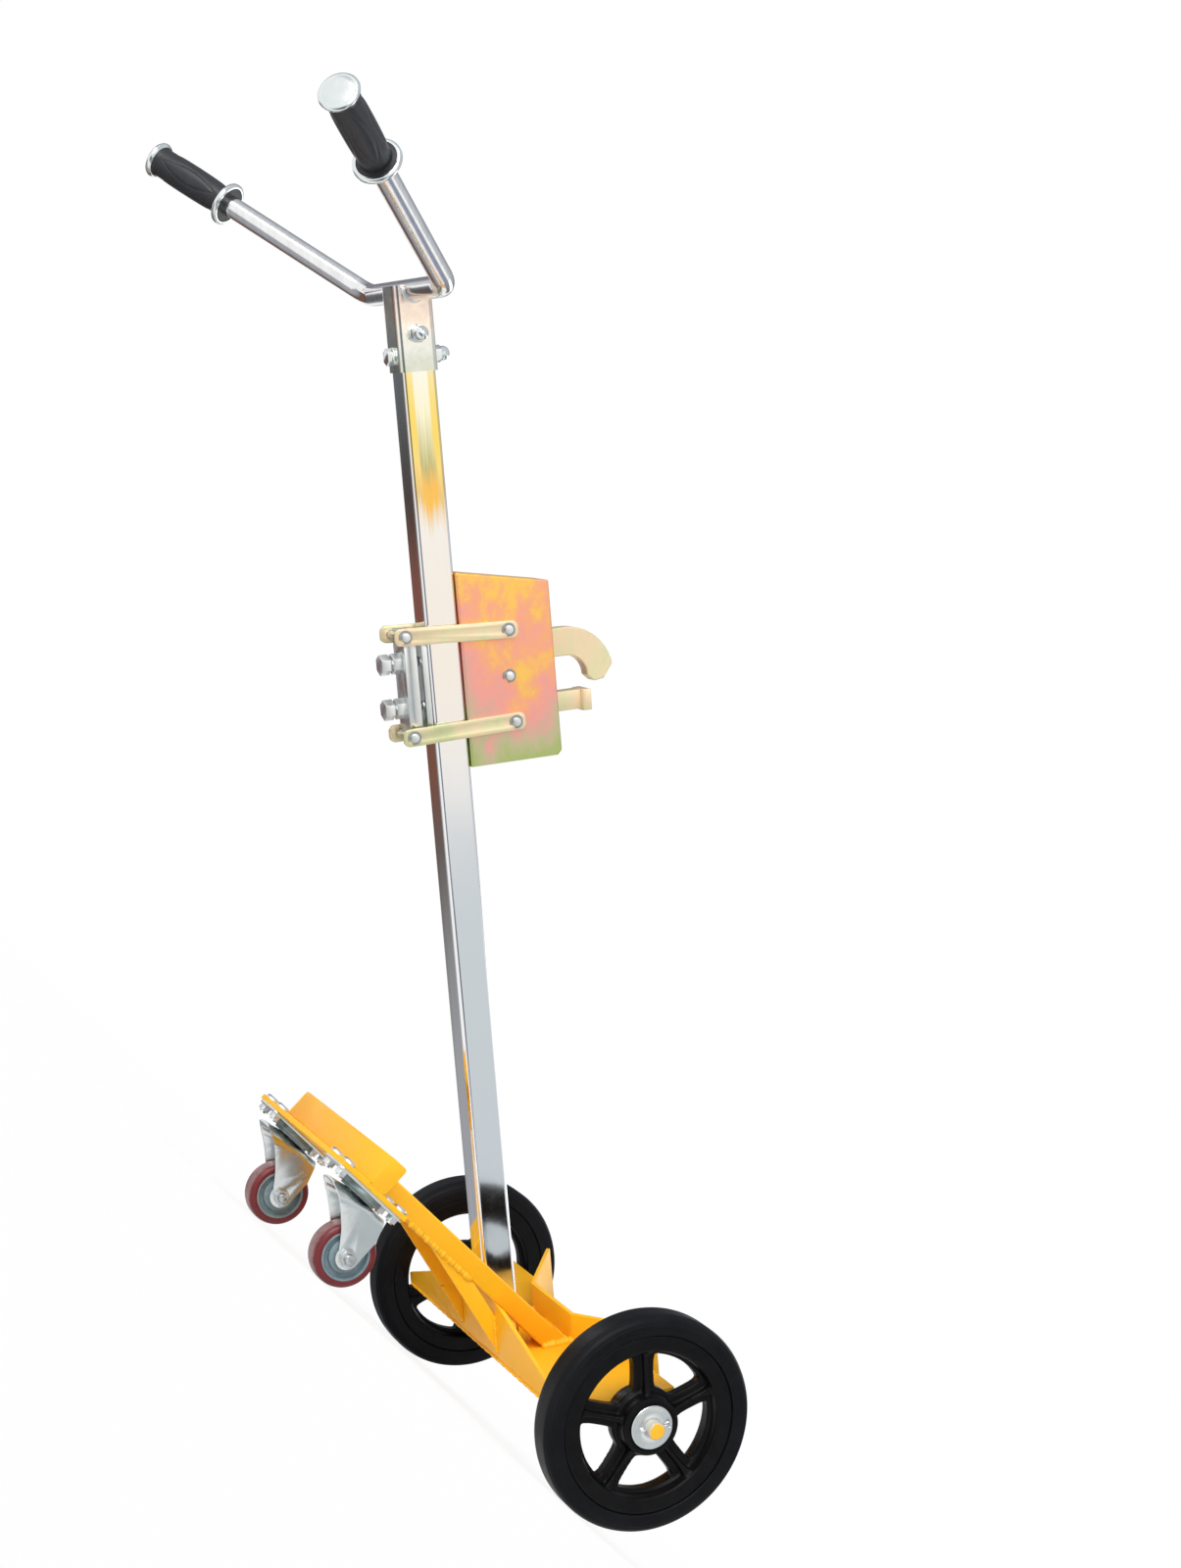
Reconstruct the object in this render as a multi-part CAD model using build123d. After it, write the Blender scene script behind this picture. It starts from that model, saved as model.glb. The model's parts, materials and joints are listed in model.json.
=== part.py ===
from build123d import *
import os
from math import atan2, cos, degrees, hypot, radians, sin, sqrt, tan

# A drum truck parked on its two main wheels and two rear casters.
# The origin is on the floor under the middle of the axle, X forward, Y left, Z up, in millimetres.
# Most of it is drawn in the mast frame: origin on the axle, z up along the post, x across it.

# Fits and clearances
RUNNING_FIT = 0.05
SEAT_FIT = 0.05
SIDE_PLAY = 0.3
SLIDE_GAP = 0.3
BOLT_HOLE_PLAY = 0.3

# Main wheels
WHEEL_D = 250
WHEEL_W = 45
TRACK = 562
TYRE_SHOULDER_R = 9
RIM_D = 206
RIM_W = 41
RIM_FACE_D = 168
WEB_T = 16
WINDOW_OUTER_D = 156
WINDOW_INNER_D = 82
WINDOW_CORNER_R = 5
SPOKE_COUNT = 5
SPOKE_W = 27
RIB_W = 6
RIB_H = 32
RIM_EDGE = 2
BOSS_D = 66
HUB_W = 50
HUB_BORE_D = 30
BEARING_D = 47
BEARING_W = 14
RIGHT_SPOKE_ANGLE = 137.2
LEFT_SPOKE_ANGLE = 42.8

# Axle
AXLE_D = 20
AXLE_STUB_L = 12
AXLE_CHAMFER = 1.5
AXLE_SPACER_D = 32
AXLE_SPACER_L = 6
AXLE_WASHER_D = 50
AXLE_WASHER_T = 3
SPLIT_PIN_D = 4
SPLIT_PIN_OVERHANG = 5
SPLIT_PIN_EYE_R = 3.5

# Base frame
MAST_LEAN = 51.2
FLOOR_T = 4
FLOOR_FRONT = 56
CRADLE_GAP = 0.5
CRADLE_T = 5
CRADLE_TOP = 50
CRADLE_BOTTOM = -32
PANEL_W = 124
WING_L = 119
WING_ANGLE = 32
FOLD_R = 4
REAR_PLATE_T = 5
REAR_PLATE_END_H = 12
REAR_PLATE_TOP = 88
RAIL_DROP = 11
RAIL_W = 38
RAIL_H = 25.5
RAIL_WALL = 3
RAIL_CORNER_R = 3
BRACE_H = 20
BRACE_T = 5
BRACE_START = 242
BRACE_FOOT = 22

# Casters
CASTER_BACK = 374
CASTER_SPREAD = 252
CASTER_TRAIL = 34.5
CASTER_WHEEL_D = 75
CASTER_CORE_D = 57
CASTER_TREAD_W = 28
CASTER_TREAD_R = 5
CASTER_HUB_D = 20
CORE_RECESS_D = 51
CORE_RECESS = 5
CASTER_AXLE_D = 10
CASTER_AXLE_HEAD_D = 15
CASTER_AXLE_HEAD_H = 3
CASTER_AXLE_TIP_L = 3
CASTER_NUT_FLATS = 17
CASTER_NUT_H = 6
FORK_T = 3
FORK_BOSS_R = 14
FORK_BACK = 38
FORK_BACK_DROP = 7.7
FORK_FRONT = 40
FORK_KNEE_DROP = 24.7
FORK_CREASE = 14
FORK_FLARE = 11
FORK_DIP = 4.5
FORK_BEND_R = 8
FORK_BEND_GROWTH = 14
FORK_SWEEP = 4.5
FORK_SIDE_CLEARANCE = 2
TOP_PLATE_T = 3.5
TOP_PLATE_L = 102
TOP_PLATE_W = 60
TOP_PLATE_CORNER_R = 6
RACE_D = 58
RACE_BORE_D = 40
RACE_H = 9.5
RACE_EDGE_R = 2
RACE_NECK_D = 48
RACE_NECK_H = 2.4
KINGPIN_D = 12
KINGPIN_HEAD_D = 16
KINGPIN_HEAD_H = 4
CASTER_BOLT_D = 8
CASTER_BOLT_X = 84
CASTER_BOLT_Y = 42
CASTER_BOLT_HEAD_D = 19
CASTER_BOLT_HEAD_H = 4.5
CASTER_BOLT_DOME_R = 4
CASTER_BOLT_NUT_FLATS = 13
CASTER_BOLT_NUT_H = 6.5
CASTER_BOLT_TIP_L = 2
CASTER_PLATE_T = 6
CASTER_PLATE_L = 102
CASTER_PLATE_W = 316
BEAM_W = 24
BEAM_H = 38
BEAM_WALL = 2.5
BEAM_CORNER_R = 4
BEAM_CAP_T = 3

# Post
POST_SIDE = 40
POST_WALL = 3
POST_CORNER_R = 5
POST_BEHIND_AXLE = 58.5
POST_TOP = 1238

# Handle
SLEEVE_WALL = 2.7
SLEEVE_GAP = 0.3
SLEEVE_L = 96
SLEEVE_OVER_POST = 28
BAR_D = 25
BAR_WALL = 2
BAR_OVER_POST = 22
BAR_CORNER_Y = 127
BAR_BEND_R = 42
ARM_BACK = 178.5
ARM_OUT = 225
ARM_UP = 186
GRIP_L = 104
GRIP_D = 35
GRIP_FLANGE_L = 7
GRIP_FLANGE_D = 44
GRIP_RING_D = 53
GRIP_RING_ROUND = 3
GRIP_CAP_D = 44
GRIP_CAP_L = 9
GRIP_CAP_ROUND = 3.5
SLEEVE_BOLT_D = 10
SLEEVE_BOLT_FLATS = 17
SLEEVE_BOLT_HEAD_H = 7
SLEEVE_WASHER_D = 21
SLEEVE_WASHER_T = 2
ACORN_HEX_H = 8
ACORN_NECK_H = 3
ACORN_DOME_D = 16.5
CROSS_BOLT_DROP = 26
FRONT_BOLT_DROP = 50

# Gripper box
GRIPPER_Z = 815
CHEEK_CLEARANCE = 3
BOX_SHEET = 3
BOX_DEPTH = 114
BOX_DROP = 100
BOX_BACK_H = 226
BOX_FRONT_H = 205
BOX_CHAMFER = 5
BOX_EDGE_R = 2.5

# Beak and chin
PIN_D = 10
BEAK_PIN_AHEAD = 55.2
BEAK_T = 20
BEAK_LIFT = 25
BEAK_BOSS_R = 20
BEAK_EDGE_R = 1.5
SHANK_RISE = 13
HOOK_AHEAD = 20.2
HOOK_INNER_R = 25
HOOK_OUTER_R = 58.5
NECK_R = 20
TIP_R = 2.5
TIP_DROP = 9
TIP_BEVEL = 8
TIP_FLAT = 13
TIP_FLAT_RISE = 2
SPACER_D = 17
CHIN_W = 20
CHIN_DROP = 51.5
CHIN_H = 23
CHIN_REACH = 34
CHIN_ROOT_L = 28
CHIN_PAD_T = 11
CHIN_PAD_W = 32
CHIN_PAD_OVERHANG = 2
SLOT_MARGIN = 1
CHIN_HOLE_PLAY = 0.1

# Links and clamp
FRONT_PIN_AHEAD = 2
FRONT_PIN_RISE = 54
FRONT_PIN_DROP = 53.5
REAR_PIN_RISE = 59.5
REAR_PIN_DROP = 56
STRAP_W = 20
STRAP_T = 4.5
STRAP_END_L = 12
STRAP_CORNER_R = 7
CLIP_D = 16
CLIP_T = 1.2
CLIP_GROOVE = 0.8
CLIP_MOUTH_W = 6
CLIP_TURN = 45
PIN_TIP_L = 2.5
BLOCK_T = 15
BLOCK_W = 36
BLOCK_END = 7.5
PAD_T = 7
PAD_CLEARANCE = 6
PAD_H = 100
SCREW_D = 12
SCREW_FLATS = 21
SCREW_HEAD_H = 11
SCREW_NUT_H = 11
SCREW_NECK_L = 3
SCREW_TIP_D = 8
SCREW_TIP_L = 3
UPPER_SCREW_RISE = 28
LOWER_SCREW_DROP = 24

# Places worked out from the sizes above
AXLE_Z = WHEEL_D / 2
MAST = Pos(0, 0, AXLE_Z) * Rot(0, -MAST_LEAN, 0)
LEAN_COS = cos(radians(MAST_LEAN))
LEAN_SIN = sin(radians(MAST_LEAN))
SLEEVE_TOP = POST_TOP + SLEEVE_OVER_POST
SLEEVE_BOTTOM = SLEEVE_TOP - SLEEVE_L
BAR_Z = POST_TOP + BAR_OVER_POST
REACH = 4 * (SLEEVE_TOP + WHEEL_D)
LEFT = 1
RIGHT = -1
SIDES = (LEFT, RIGHT)
STAND = (Align.CENTER, Align.CENTER, Align.MIN)
HUB_INNER_Y = TRACK / 2 - HUB_W / 2
HUB_OUTER_Y = TRACK / 2 + HUB_W / 2
WASHER_OUTER_Y = HUB_OUTER_Y + SIDE_PLAY + AXLE_WASHER_T
SPLIT_PIN_Y = WASHER_OUTER_Y + SPLIT_PIN_D / 2 + SIDE_PLAY
AXLE_END_Y = WASHER_OUTER_Y + AXLE_STUB_L
FLOOR_HALF_L = HUB_INNER_Y - SIDE_PLAY - AXLE_SPACER_L
FLOOR_BOTTOM = AXLE_D / 2
FLOOR_TOP = FLOOR_BOTTOM + FLOOR_T
POST_FRONT = -POST_BEHIND_AXLE + POST_SIDE / 2
POST_BACK = -POST_BEHIND_AXLE - POST_SIDE / 2
REAR_PLATE_BACK = POST_BACK - REAR_PLATE_T
CRADLE_X = AXLE_D / 2 + CRADLE_GAP
RAIL_OUTER_Y = POST_SIDE / 2 + RAIL_W
CASTER_PLATE_TOP = AXLE_Z - RAIL_DROP
CASTER_H = CASTER_PLATE_TOP - CASTER_PLATE_T
CROWN_TOP = CASTER_H - TOP_PLATE_T - RACE_H - SIDE_PLAY
CROWN_BOTTOM = CROWN_TOP - FORK_T
RAIL_REAR_X = -CASTER_BACK + BEAM_W / 2
BOX_W = POST_SIDE + 2 * CHEEK_CLEARANCE
BOX_BACK = POST_FRONT + SLIDE_GAP
BOX_FRONT = BOX_BACK + BOX_DEPTH
BOX_BOTTOM = GRIPPER_Z - BOX_DROP
BEAK_PIN_X = BOX_BACK + BEAK_PIN_AHEAD
BEAK_PIN_Z = GRIPPER_Z
SHANK_BOTTOM = BEAK_PIN_Z + SHANK_RISE
HOOK_X = BOX_FRONT + HOOK_AHEAD
HOOK_Z = SHANK_BOTTOM - HOOK_INNER_R
CHIN_BOTTOM = BEAK_PIN_Z - CHIN_DROP
SHANK_TOP = HOOK_Z + HOOK_OUTER_R
PAD_FRONT = POST_BACK - SLIDE_GAP
PAD_BACK = PAD_FRONT - PAD_T
BLOCK_FRONT = PAD_BACK - PAD_CLEARANCE
BLOCK_BACK = BLOCK_FRONT - BLOCK_T
UPPER_FRONT_PIN = (BEAK_PIN_X + FRONT_PIN_AHEAD, BEAK_PIN_Z + FRONT_PIN_RISE)
LOWER_FRONT_PIN = (BEAK_PIN_X + FRONT_PIN_AHEAD, BEAK_PIN_Z - FRONT_PIN_DROP)
UPPER_REAR_PIN = (BLOCK_BACK, BEAK_PIN_Z + REAR_PIN_RISE)
LOWER_REAR_PIN = (BLOCK_BACK, BEAK_PIN_Z - REAR_PIN_DROP)
LINK_PINS = (UPPER_FRONT_PIN, LOWER_FRONT_PIN, UPPER_REAR_PIN, LOWER_REAR_PIN)
STRAP_OUTER_Y = BOX_W / 2 + STRAP_T
FORK_INNER_Y = CASTER_TREAD_W / 2 + FORK_SIDE_CLEARANCE
FORK_OUTER_Y = FORK_INNER_Y + FORK_T


def between(x, y, z):
    """A block between pairs of X, Y and Z values."""
    size = [pair[1] - pair[0] for pair in (x, y, z)]
    middle = [(pair[0] + pair[1]) / 2 for pair in (x, y, z)]
    return Pos(*middle) * Box(*size)


def outline(*points):
    """A flat face with straight edges."""
    return make_face(Polyline(*points, close=True))


def raised(face, z):
    """A face drawn as (x, y), made a plate between two Z values."""
    return Pos(0, 0, z[0]) * extrude(face, z[1] - z[0], dir=(0, 0, 1))


def side_plate(face, y):
    """A face drawn as (x, z), made a plate between two Y values."""
    return Pos(0, y[1], 0) * Rot(90, 0, 0) * extrude(face, y[1] - y[0], dir=(0, 0, 1))


def along(start, end):
    """A plane at the start point that looks towards the end point, and the distance between them."""
    way = Vector(*end) - Vector(*start)
    return Plane(origin=start, z_dir=way), way.length


def rod(start, end, radius):
    """A round bar between two points."""
    plane, length = along(start, end)
    return plane * Cylinder(radius, length, align=STAND)


def ring(start, end, outer, inner):
    """A round tube between two points, with its two radii."""
    return rod(start, end, outer) - rod(start, end, inner)


def hexagon(start, end, across_flats):
    """A six-sided bar between two points."""
    plane, length = along(start, end)
    flat = RegularPolygon(across_flats / 2, 6, major_radius=False)
    return plane * extrude(flat, length, dir=(0, 0, 1))


def across(x, z, half_length):
    """The two ends of a line along Y, in the mast frame."""
    return (x, -half_length, z), (x, half_length, z)


def mast_to_side(x, z):
    """Where a point of the mast frame lies in the truck's side view."""
    return x * LEAN_COS - z * LEAN_SIN, AXLE_Z + x * LEAN_SIN + z * LEAN_COS


def above_mast_plane(z):
    """The space above a height in the mast frame."""
    return MAST * between((-REACH, REACH), (-REACH, REACH), (z, z + REACH))


def behind_mast_plane(x):
    """The space behind an x in the mast frame."""
    return MAST * between((x - REACH, x), (-REACH, REACH), (-REACH, REACH))


def above_floor(z):
    """The space above a height over the floor."""
    return between((-REACH, REACH), (-REACH, REACH), (z, z + REACH))


# Base frame

def wing_point(distance, forward):
    """A point on the left wing, along it from the fold and forward of its back face, seen from above."""
    turn = radians(WING_ANGLE)
    x = CRADLE_X + distance * sin(turn) + forward * cos(turn)
    y = PANEL_W / 2 + distance * cos(turn) - forward * sin(turn)
    return x, y


def floor_plate():
    """Flat plate under the post, cut away along the back of the cradle."""
    notch_y = PANEL_W / 2 + (FLOOR_FRONT - CRADLE_X) / tan(radians(WING_ANGLE))
    half = [
        (REAR_PLATE_BACK, FLOOR_HALF_L),
        (FLOOR_FRONT, FLOOR_HALF_L),
        (FLOOR_FRONT, notch_y),
        (CRADLE_X, PANEL_W / 2),
    ]
    other = [(x, -y) for x, y in reversed(half)]
    return MAST * raised(outline(*half, *other), (FLOOR_BOTTOM, FLOOR_TOP))


def rear_plate():
    """Upright plate behind the post, low at its ends, its top trimmed under the rails."""
    low = FLOOR_TOP + REAR_PLATE_END_H
    half = [(FLOOR_HALF_L, FLOOR_TOP), (FLOOR_HALF_L, low), (RAIL_OUTER_Y, REAR_PLATE_TOP)]
    other = [(-y, z) for y, z in reversed(half)]
    plate = Plane.YZ * raised(outline(*half, *other), (REAR_PLATE_BACK, POST_BACK))
    return MAST * plate - above_floor(CASTER_PLATE_TOP)


def upright_edges(shape, x):
    """The edges along Z that lie at an X value."""
    return shape.edges().filter_by(Axis.Z).filter_by(lambda edge: abs(edge.center().X - x) < SIDE_PLAY)


def cradle():
    """Bent plate with a centre panel and two wings that hold a round load."""
    fold_front = (CRADLE_X + CRADLE_T, PANEL_W / 2 - CRADLE_T * tan(radians(WING_ANGLE / 2)))
    half = [fold_front, wing_point(WING_L, CRADLE_T), wing_point(WING_L, 0), wing_point(0, 0)]
    other = [(x, -y) for x, y in reversed(half)]
    plate = raised(outline(*half, *other), (CRADLE_BOTTOM, CRADLE_TOP))
    plate = fillet(upright_edges(plate, CRADLE_X + CRADLE_T), FOLD_R)
    return MAST * fillet(upright_edges(plate, CRADLE_X), FOLD_R + CRADLE_T)


def rail(side):
    """Straight box rail beside the post, cut to the floor plate and the back of the cradle."""
    front = AXLE_Z
    bottom = CASTER_PLATE_TOP
    top = bottom + RAIL_H
    shape = outline((RAIL_REAR_X, bottom), (front, bottom), (front, top), (RAIL_REAR_X, top))
    bar = side_plate(shape, (POST_SIDE / 2, RAIL_OUTER_Y))
    ends = bar.faces().sort_by(Axis.X)
    end_edges = ends[0].edges() + ends[-1].edges()
    long_edges = [edge for edge in bar.edges() if edge not in end_edges]
    bar = fillet(long_edges, RAIL_CORNER_R)
    low = bottom + RAIL_WALL
    high = top - RAIL_WALL
    space = outline((RAIL_REAR_X, low), (front, low), (front, high), (RAIL_REAR_X, high))
    bar -= side_plate(space, (POST_SIDE / 2 + RAIL_WALL, RAIL_OUTER_Y - RAIL_WALL))
    bar = bar & behind_mast_plane(CRADLE_X) & above_mast_plane(FLOOR_TOP)
    return bar if side == LEFT else mirror(bar, Plane.XZ)


def brace_bars():
    """Two flat bars that run from under the rails down to the foot of the rear plate."""
    start = (-BRACE_START, CASTER_PLATE_TOP)
    foot = mast_to_side(REAR_PLATE_BACK, BRACE_FOOT)
    length = hypot(foot[0] - start[0], foot[1] - start[1])
    way = ((foot[0] - start[0]) / length, (foot[1] - start[1]) / length)

    def point(distance, up):
        return start[0] + distance * way[0] - up * way[1], start[1] + distance * way[1] + up * way[0]

    begin = -length
    finish = 2 * length
    face = outline(point(begin, 0), point(finish, 0), point(finish, BRACE_H), point(begin, BRACE_H))
    bar = side_plate(face, (RAIL_OUTER_Y - BRACE_T, RAIL_OUTER_Y))
    bar = (bar & behind_mast_plane(REAR_PLATE_BACK)) - above_floor(CASTER_PLATE_TOP)
    return Compound([bar, mirror(bar, Plane.XZ)])


def caster_plate():
    """Flat plate that carries both casters."""
    plate = Pos(-CASTER_BACK, 0, CASTER_H) * Box(CASTER_PLATE_L, CASTER_PLATE_W, CASTER_PLATE_T, align=STAND)
    for x, y in caster_bolt_places():
        plate -= rod((x, y, CASTER_H), (x, y, CASTER_PLATE_TOP), CASTER_BOLT_D / 2 + BOLT_HOLE_PLAY)
    return plate


def caster_beam():
    """Tube across the caster plate."""
    section = RectangleRounded(BEAM_W, BEAM_H, BEAM_CORNER_R)
    section -= RectangleRounded(BEAM_W - 2 * BEAM_WALL, BEAM_H - 2 * BEAM_WALL, BEAM_CORNER_R - BEAM_WALL)
    return beam_place(0) * extrude(section, CASTER_PLATE_W / 2 - BEAM_CAP_T, both=True)


def beam_place(y):
    """The middle of the caster beam's section at a place along it, its drawing turned upright."""
    return Pos(-CASTER_BACK, y, CASTER_PLATE_TOP + BEAM_H / 2) * Rot(90, 0, 0)


def beam_end_caps():
    """The two plates that close the caster beam."""
    section = RectangleRounded(BEAM_W, BEAM_H, BEAM_CORNER_R)
    cap = extrude(section, BEAM_CAP_T / 2, both=True)
    middle = CASTER_PLATE_W / 2 - BEAM_CAP_T / 2
    return Compound([beam_place(side * middle) * cap for side in SIDES])


# Axle and main wheels

def axle():
    """Round axle with a cross hole for the split pin at each end."""
    bar = Rot(90, 0, 0) * Cylinder(AXLE_D / 2, 2 * AXLE_END_Y)
    bar = chamfer(bar.edges().filter_by(GeomType.CIRCLE), AXLE_CHAMFER)
    for side in SIDES:
        y = side * SPLIT_PIN_Y
        bar -= rod((-AXLE_D, y, 0), (AXLE_D, y, 0), SPLIT_PIN_D / 2 + SEAT_FIT)
    return MAST * bar


def axle_spacers():
    """Short sleeves on the axle between the floor plate and the hubs."""
    ends = [((0, side * FLOOR_HALF_L, 0), (0, side * (HUB_INNER_Y - SIDE_PLAY), 0)) for side in SIDES]
    return MAST * Compound([ring(a, b, AXLE_SPACER_D / 2, AXLE_D / 2 + SEAT_FIT) for a, b in ends])


def axle_washers():
    """Plain washers outside the hubs."""
    ends = [((0, side * (HUB_OUTER_Y + SIDE_PLAY), 0), (0, side * WASHER_OUTER_Y, 0)) for side in SIDES]
    return MAST * Compound([ring(a, b, AXLE_WASHER_D / 2, AXLE_D / 2 + SEAT_FIT) for a, b in ends])


def split_pins():
    """Split pins across the axle's ends, each with its eye."""
    half = AXLE_D / 2 + SPLIT_PIN_OVERHANG
    eye = Rot(90, 0, 0) * Torus(SPLIT_PIN_EYE_R, SPLIT_PIN_D / 4)
    pins = []
    for side in SIDES:
        y = side * SPLIT_PIN_Y
        pin = rod((-half, y, 0), (half, y, 0), SPLIT_PIN_D / 2)
        pins.append(pin + Pos(half + SPLIT_PIN_EYE_R, y, 0) * eye)
    return MAST * Compound(pins)


def wheel_place(side):
    """The middle of a main wheel, with z pointing out along the axle."""
    return Pos(0, side * TRACK / 2, AXLE_Z) * Rot(-90 * side, 0, 0)


def wheel_hub(side):
    """Cast hub with spokes, a rim and a boss for two bearings."""
    step = 360 / SPOKE_COUNT
    first = LEFT_SPOKE_ANGLE if side == LEFT else RIGHT_SPOKE_ANGLE
    angles = [first + step * k for k in range(SPOKE_COUNT)]
    rim = Cylinder(RIM_D / 2, RIM_W)
    rim = chamfer(rim.edges().filter_by(GeomType.CIRCLE), RIM_EDGE) - Cylinder(RIM_FACE_D / 2, RIM_W)
    windows = Circle(WINDOW_OUTER_D / 2) - Circle(WINDOW_INNER_D / 2)
    for angle in angles:
        windows -= Rot(0, 0, angle) * Pos(RIM_D / 4, 0) * Rectangle(RIM_D / 2, SPOKE_W)
    windows = fillet(windows.vertices(), WINDOW_CORNER_R)
    web = Cylinder((RIM_D + RIM_FACE_D) / 4, WEB_T) - extrude(windows, WEB_T, both=True)
    hub = rim + web + Cylinder(BOSS_D / 2, HUB_W)
    rib_l = (RIM_FACE_D - HUB_BORE_D) / 2
    for angle in angles:
        hub += Rot(0, 0, angle) * Pos(HUB_BORE_D / 2 + rib_l / 2, 0) * Box(rib_l, RIB_W, RIB_H)
    hub -= Cylinder(HUB_BORE_D / 2, HUB_W)
    for end in SIDES:
        hub -= Pos(0, 0, end * (HUB_W - BEARING_W) / 2) * Cylinder(BEARING_D / 2 + SEAT_FIT, BEARING_W)
    return wheel_place(side) * hub


def tyre(side):
    """Solid rubber tyre bonded round the rim."""
    band = Cylinder(WHEEL_D / 2, WHEEL_W)
    band = fillet(band.edges().filter_by(GeomType.CIRCLE), TYRE_SHOULDER_R)
    return wheel_place(side) * (band - Cylinder(RIM_D / 2 + SEAT_FIT, WHEEL_W))


def wheel_bearings(side):
    """The two bearings in a hub, running on the axle."""
    bearing = Cylinder(BEARING_D / 2, BEARING_W) - Cylinder(AXLE_D / 2 + RUNNING_FIT, BEARING_W)
    offset = (HUB_W - BEARING_W) / 2
    return wheel_place(side) * Compound([Pos(0, 0, end * offset) * bearing for end in SIDES])


# Casters

def caster_bolt_places():
    """Centres of the eight caster bolts, seen from above."""
    places = []
    for side in SIDES:
        for dx in (-CASTER_BOLT_X / 2, CASTER_BOLT_X / 2):
            for dy in (-CASTER_BOLT_Y / 2, CASTER_BOLT_Y / 2):
                places.append((-CASTER_BACK + dx, side * CASTER_SPREAD / 2 + dy))
    return places


def caster_bolts():
    """Dome-headed bolts through the caster plate and the top plates."""
    low = CASTER_H - TOP_PLATE_T - CASTER_BOLT_NUT_H - CASTER_BOLT_TIP_L
    bolts = []
    for x, y in caster_bolt_places():
        seat = (x, y, CASTER_PLATE_TOP)
        head = rod(seat, (x, y, CASTER_PLATE_TOP + CASTER_BOLT_HEAD_H), CASTER_BOLT_HEAD_D / 2)
        head = fillet(head.edges().filter_by(GeomType.CIRCLE).sort_by(Axis.Z)[-1], CASTER_BOLT_DOME_R)
        bolts.append(head + rod((x, y, low), seat, CASTER_BOLT_D / 2))
    return Compound(bolts)


def caster_nuts():
    """Nuts under the casters' top plates."""
    high = CASTER_H - TOP_PLATE_T
    nuts = []
    for x, y in caster_bolt_places():
        start = (x, y, high - CASTER_BOLT_NUT_H)
        end = (x, y, high)
        nut = hexagon(start, end, CASTER_BOLT_NUT_FLATS)
        nuts.append(nut - rod(start, end, CASTER_BOLT_D / 2 + SEAT_FIT))
    return Compound(nuts)


def caster_place(side):
    """The foot of a caster's swivel axis on the floor."""
    return Pos(-CASTER_BACK, side * CASTER_SPREAD / 2, 0)


def caster_top_plates():
    """Fixed plates of the casters, under the caster plate."""
    low = CASTER_H - TOP_PLATE_T
    plate = raised(RectangleRounded(TOP_PLATE_L, TOP_PLATE_W, TOP_PLATE_CORNER_R), (low, CASTER_H))
    plate -= rod((0, 0, low), (0, 0, CASTER_H), KINGPIN_D / 2 + SEAT_FIT)
    plates = Compound([caster_place(side) * plate for side in SIDES])
    for x, y in caster_bolt_places():
        plates -= rod((x, y, low), (x, y, CASTER_H), CASTER_BOLT_D / 2 + BOLT_HOLE_PLAY)
    return plates


def swivel_races():
    """Ring races under the top plates."""
    high = CASTER_H - TOP_PLATE_T
    low = high - RACE_H
    race = rod((0, 0, low + RACE_NECK_H), (0, 0, high), RACE_D / 2)
    race = fillet(race.edges().filter_by(GeomType.CIRCLE).sort_by(Axis.Z)[0], RACE_EDGE_R)
    race += rod((0, 0, low), (0, 0, high), RACE_NECK_D / 2)
    race -= rod((0, 0, low), (0, 0, high), RACE_BORE_D / 2)
    return Compound([caster_place(side) * race for side in SIDES])


def kingpins():
    """Riveted pins that hold the forks under the top plates."""
    head_top = CROWN_BOTTOM - SIDE_PLAY
    pin = rod((0, 0, head_top), (0, 0, CASTER_H), KINGPIN_D / 2)
    pin += rod((0, 0, head_top - KINGPIN_HEAD_H), (0, 0, head_top), KINGPIN_HEAD_D / 2)
    return Compound([caster_place(side) * pin for side in SIDES])


def fork_section(x, inset):
    """The fork's arch across its wheel, drawn in by an inset, at a distance ahead of the swivel axis."""
    flare = max(0, FORK_CREASE - x) / (FORK_CREASE + FORK_BACK)
    dip = max(0, -FORK_CREASE - x) / (FORK_BACK - FORK_CREASE)
    half_width = FORK_OUTER_Y + flare * FORK_FLARE - inset
    high = CROWN_TOP - dip * FORK_DIP - inset
    bend = FORK_BEND_R + flare * FORK_BEND_GROWTH - inset
    plane = Plane(origin=(x, 0, 0), x_dir=(0, 1, 0), z_dir=(1, 0, 0))
    return plane * RectangleRounded(2 * half_width, 2 * high, bend)


def fork_arch(inset):
    """The arch along the whole fork, straight ahead of its crease and flared behind it."""
    places = (CASTER_TRAIL + FORK_BOSS_R, FORK_CREASE, -FORK_CREASE, -FORK_BACK)
    return loft([fork_section(x, inset) for x in places], ruled=True)


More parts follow.
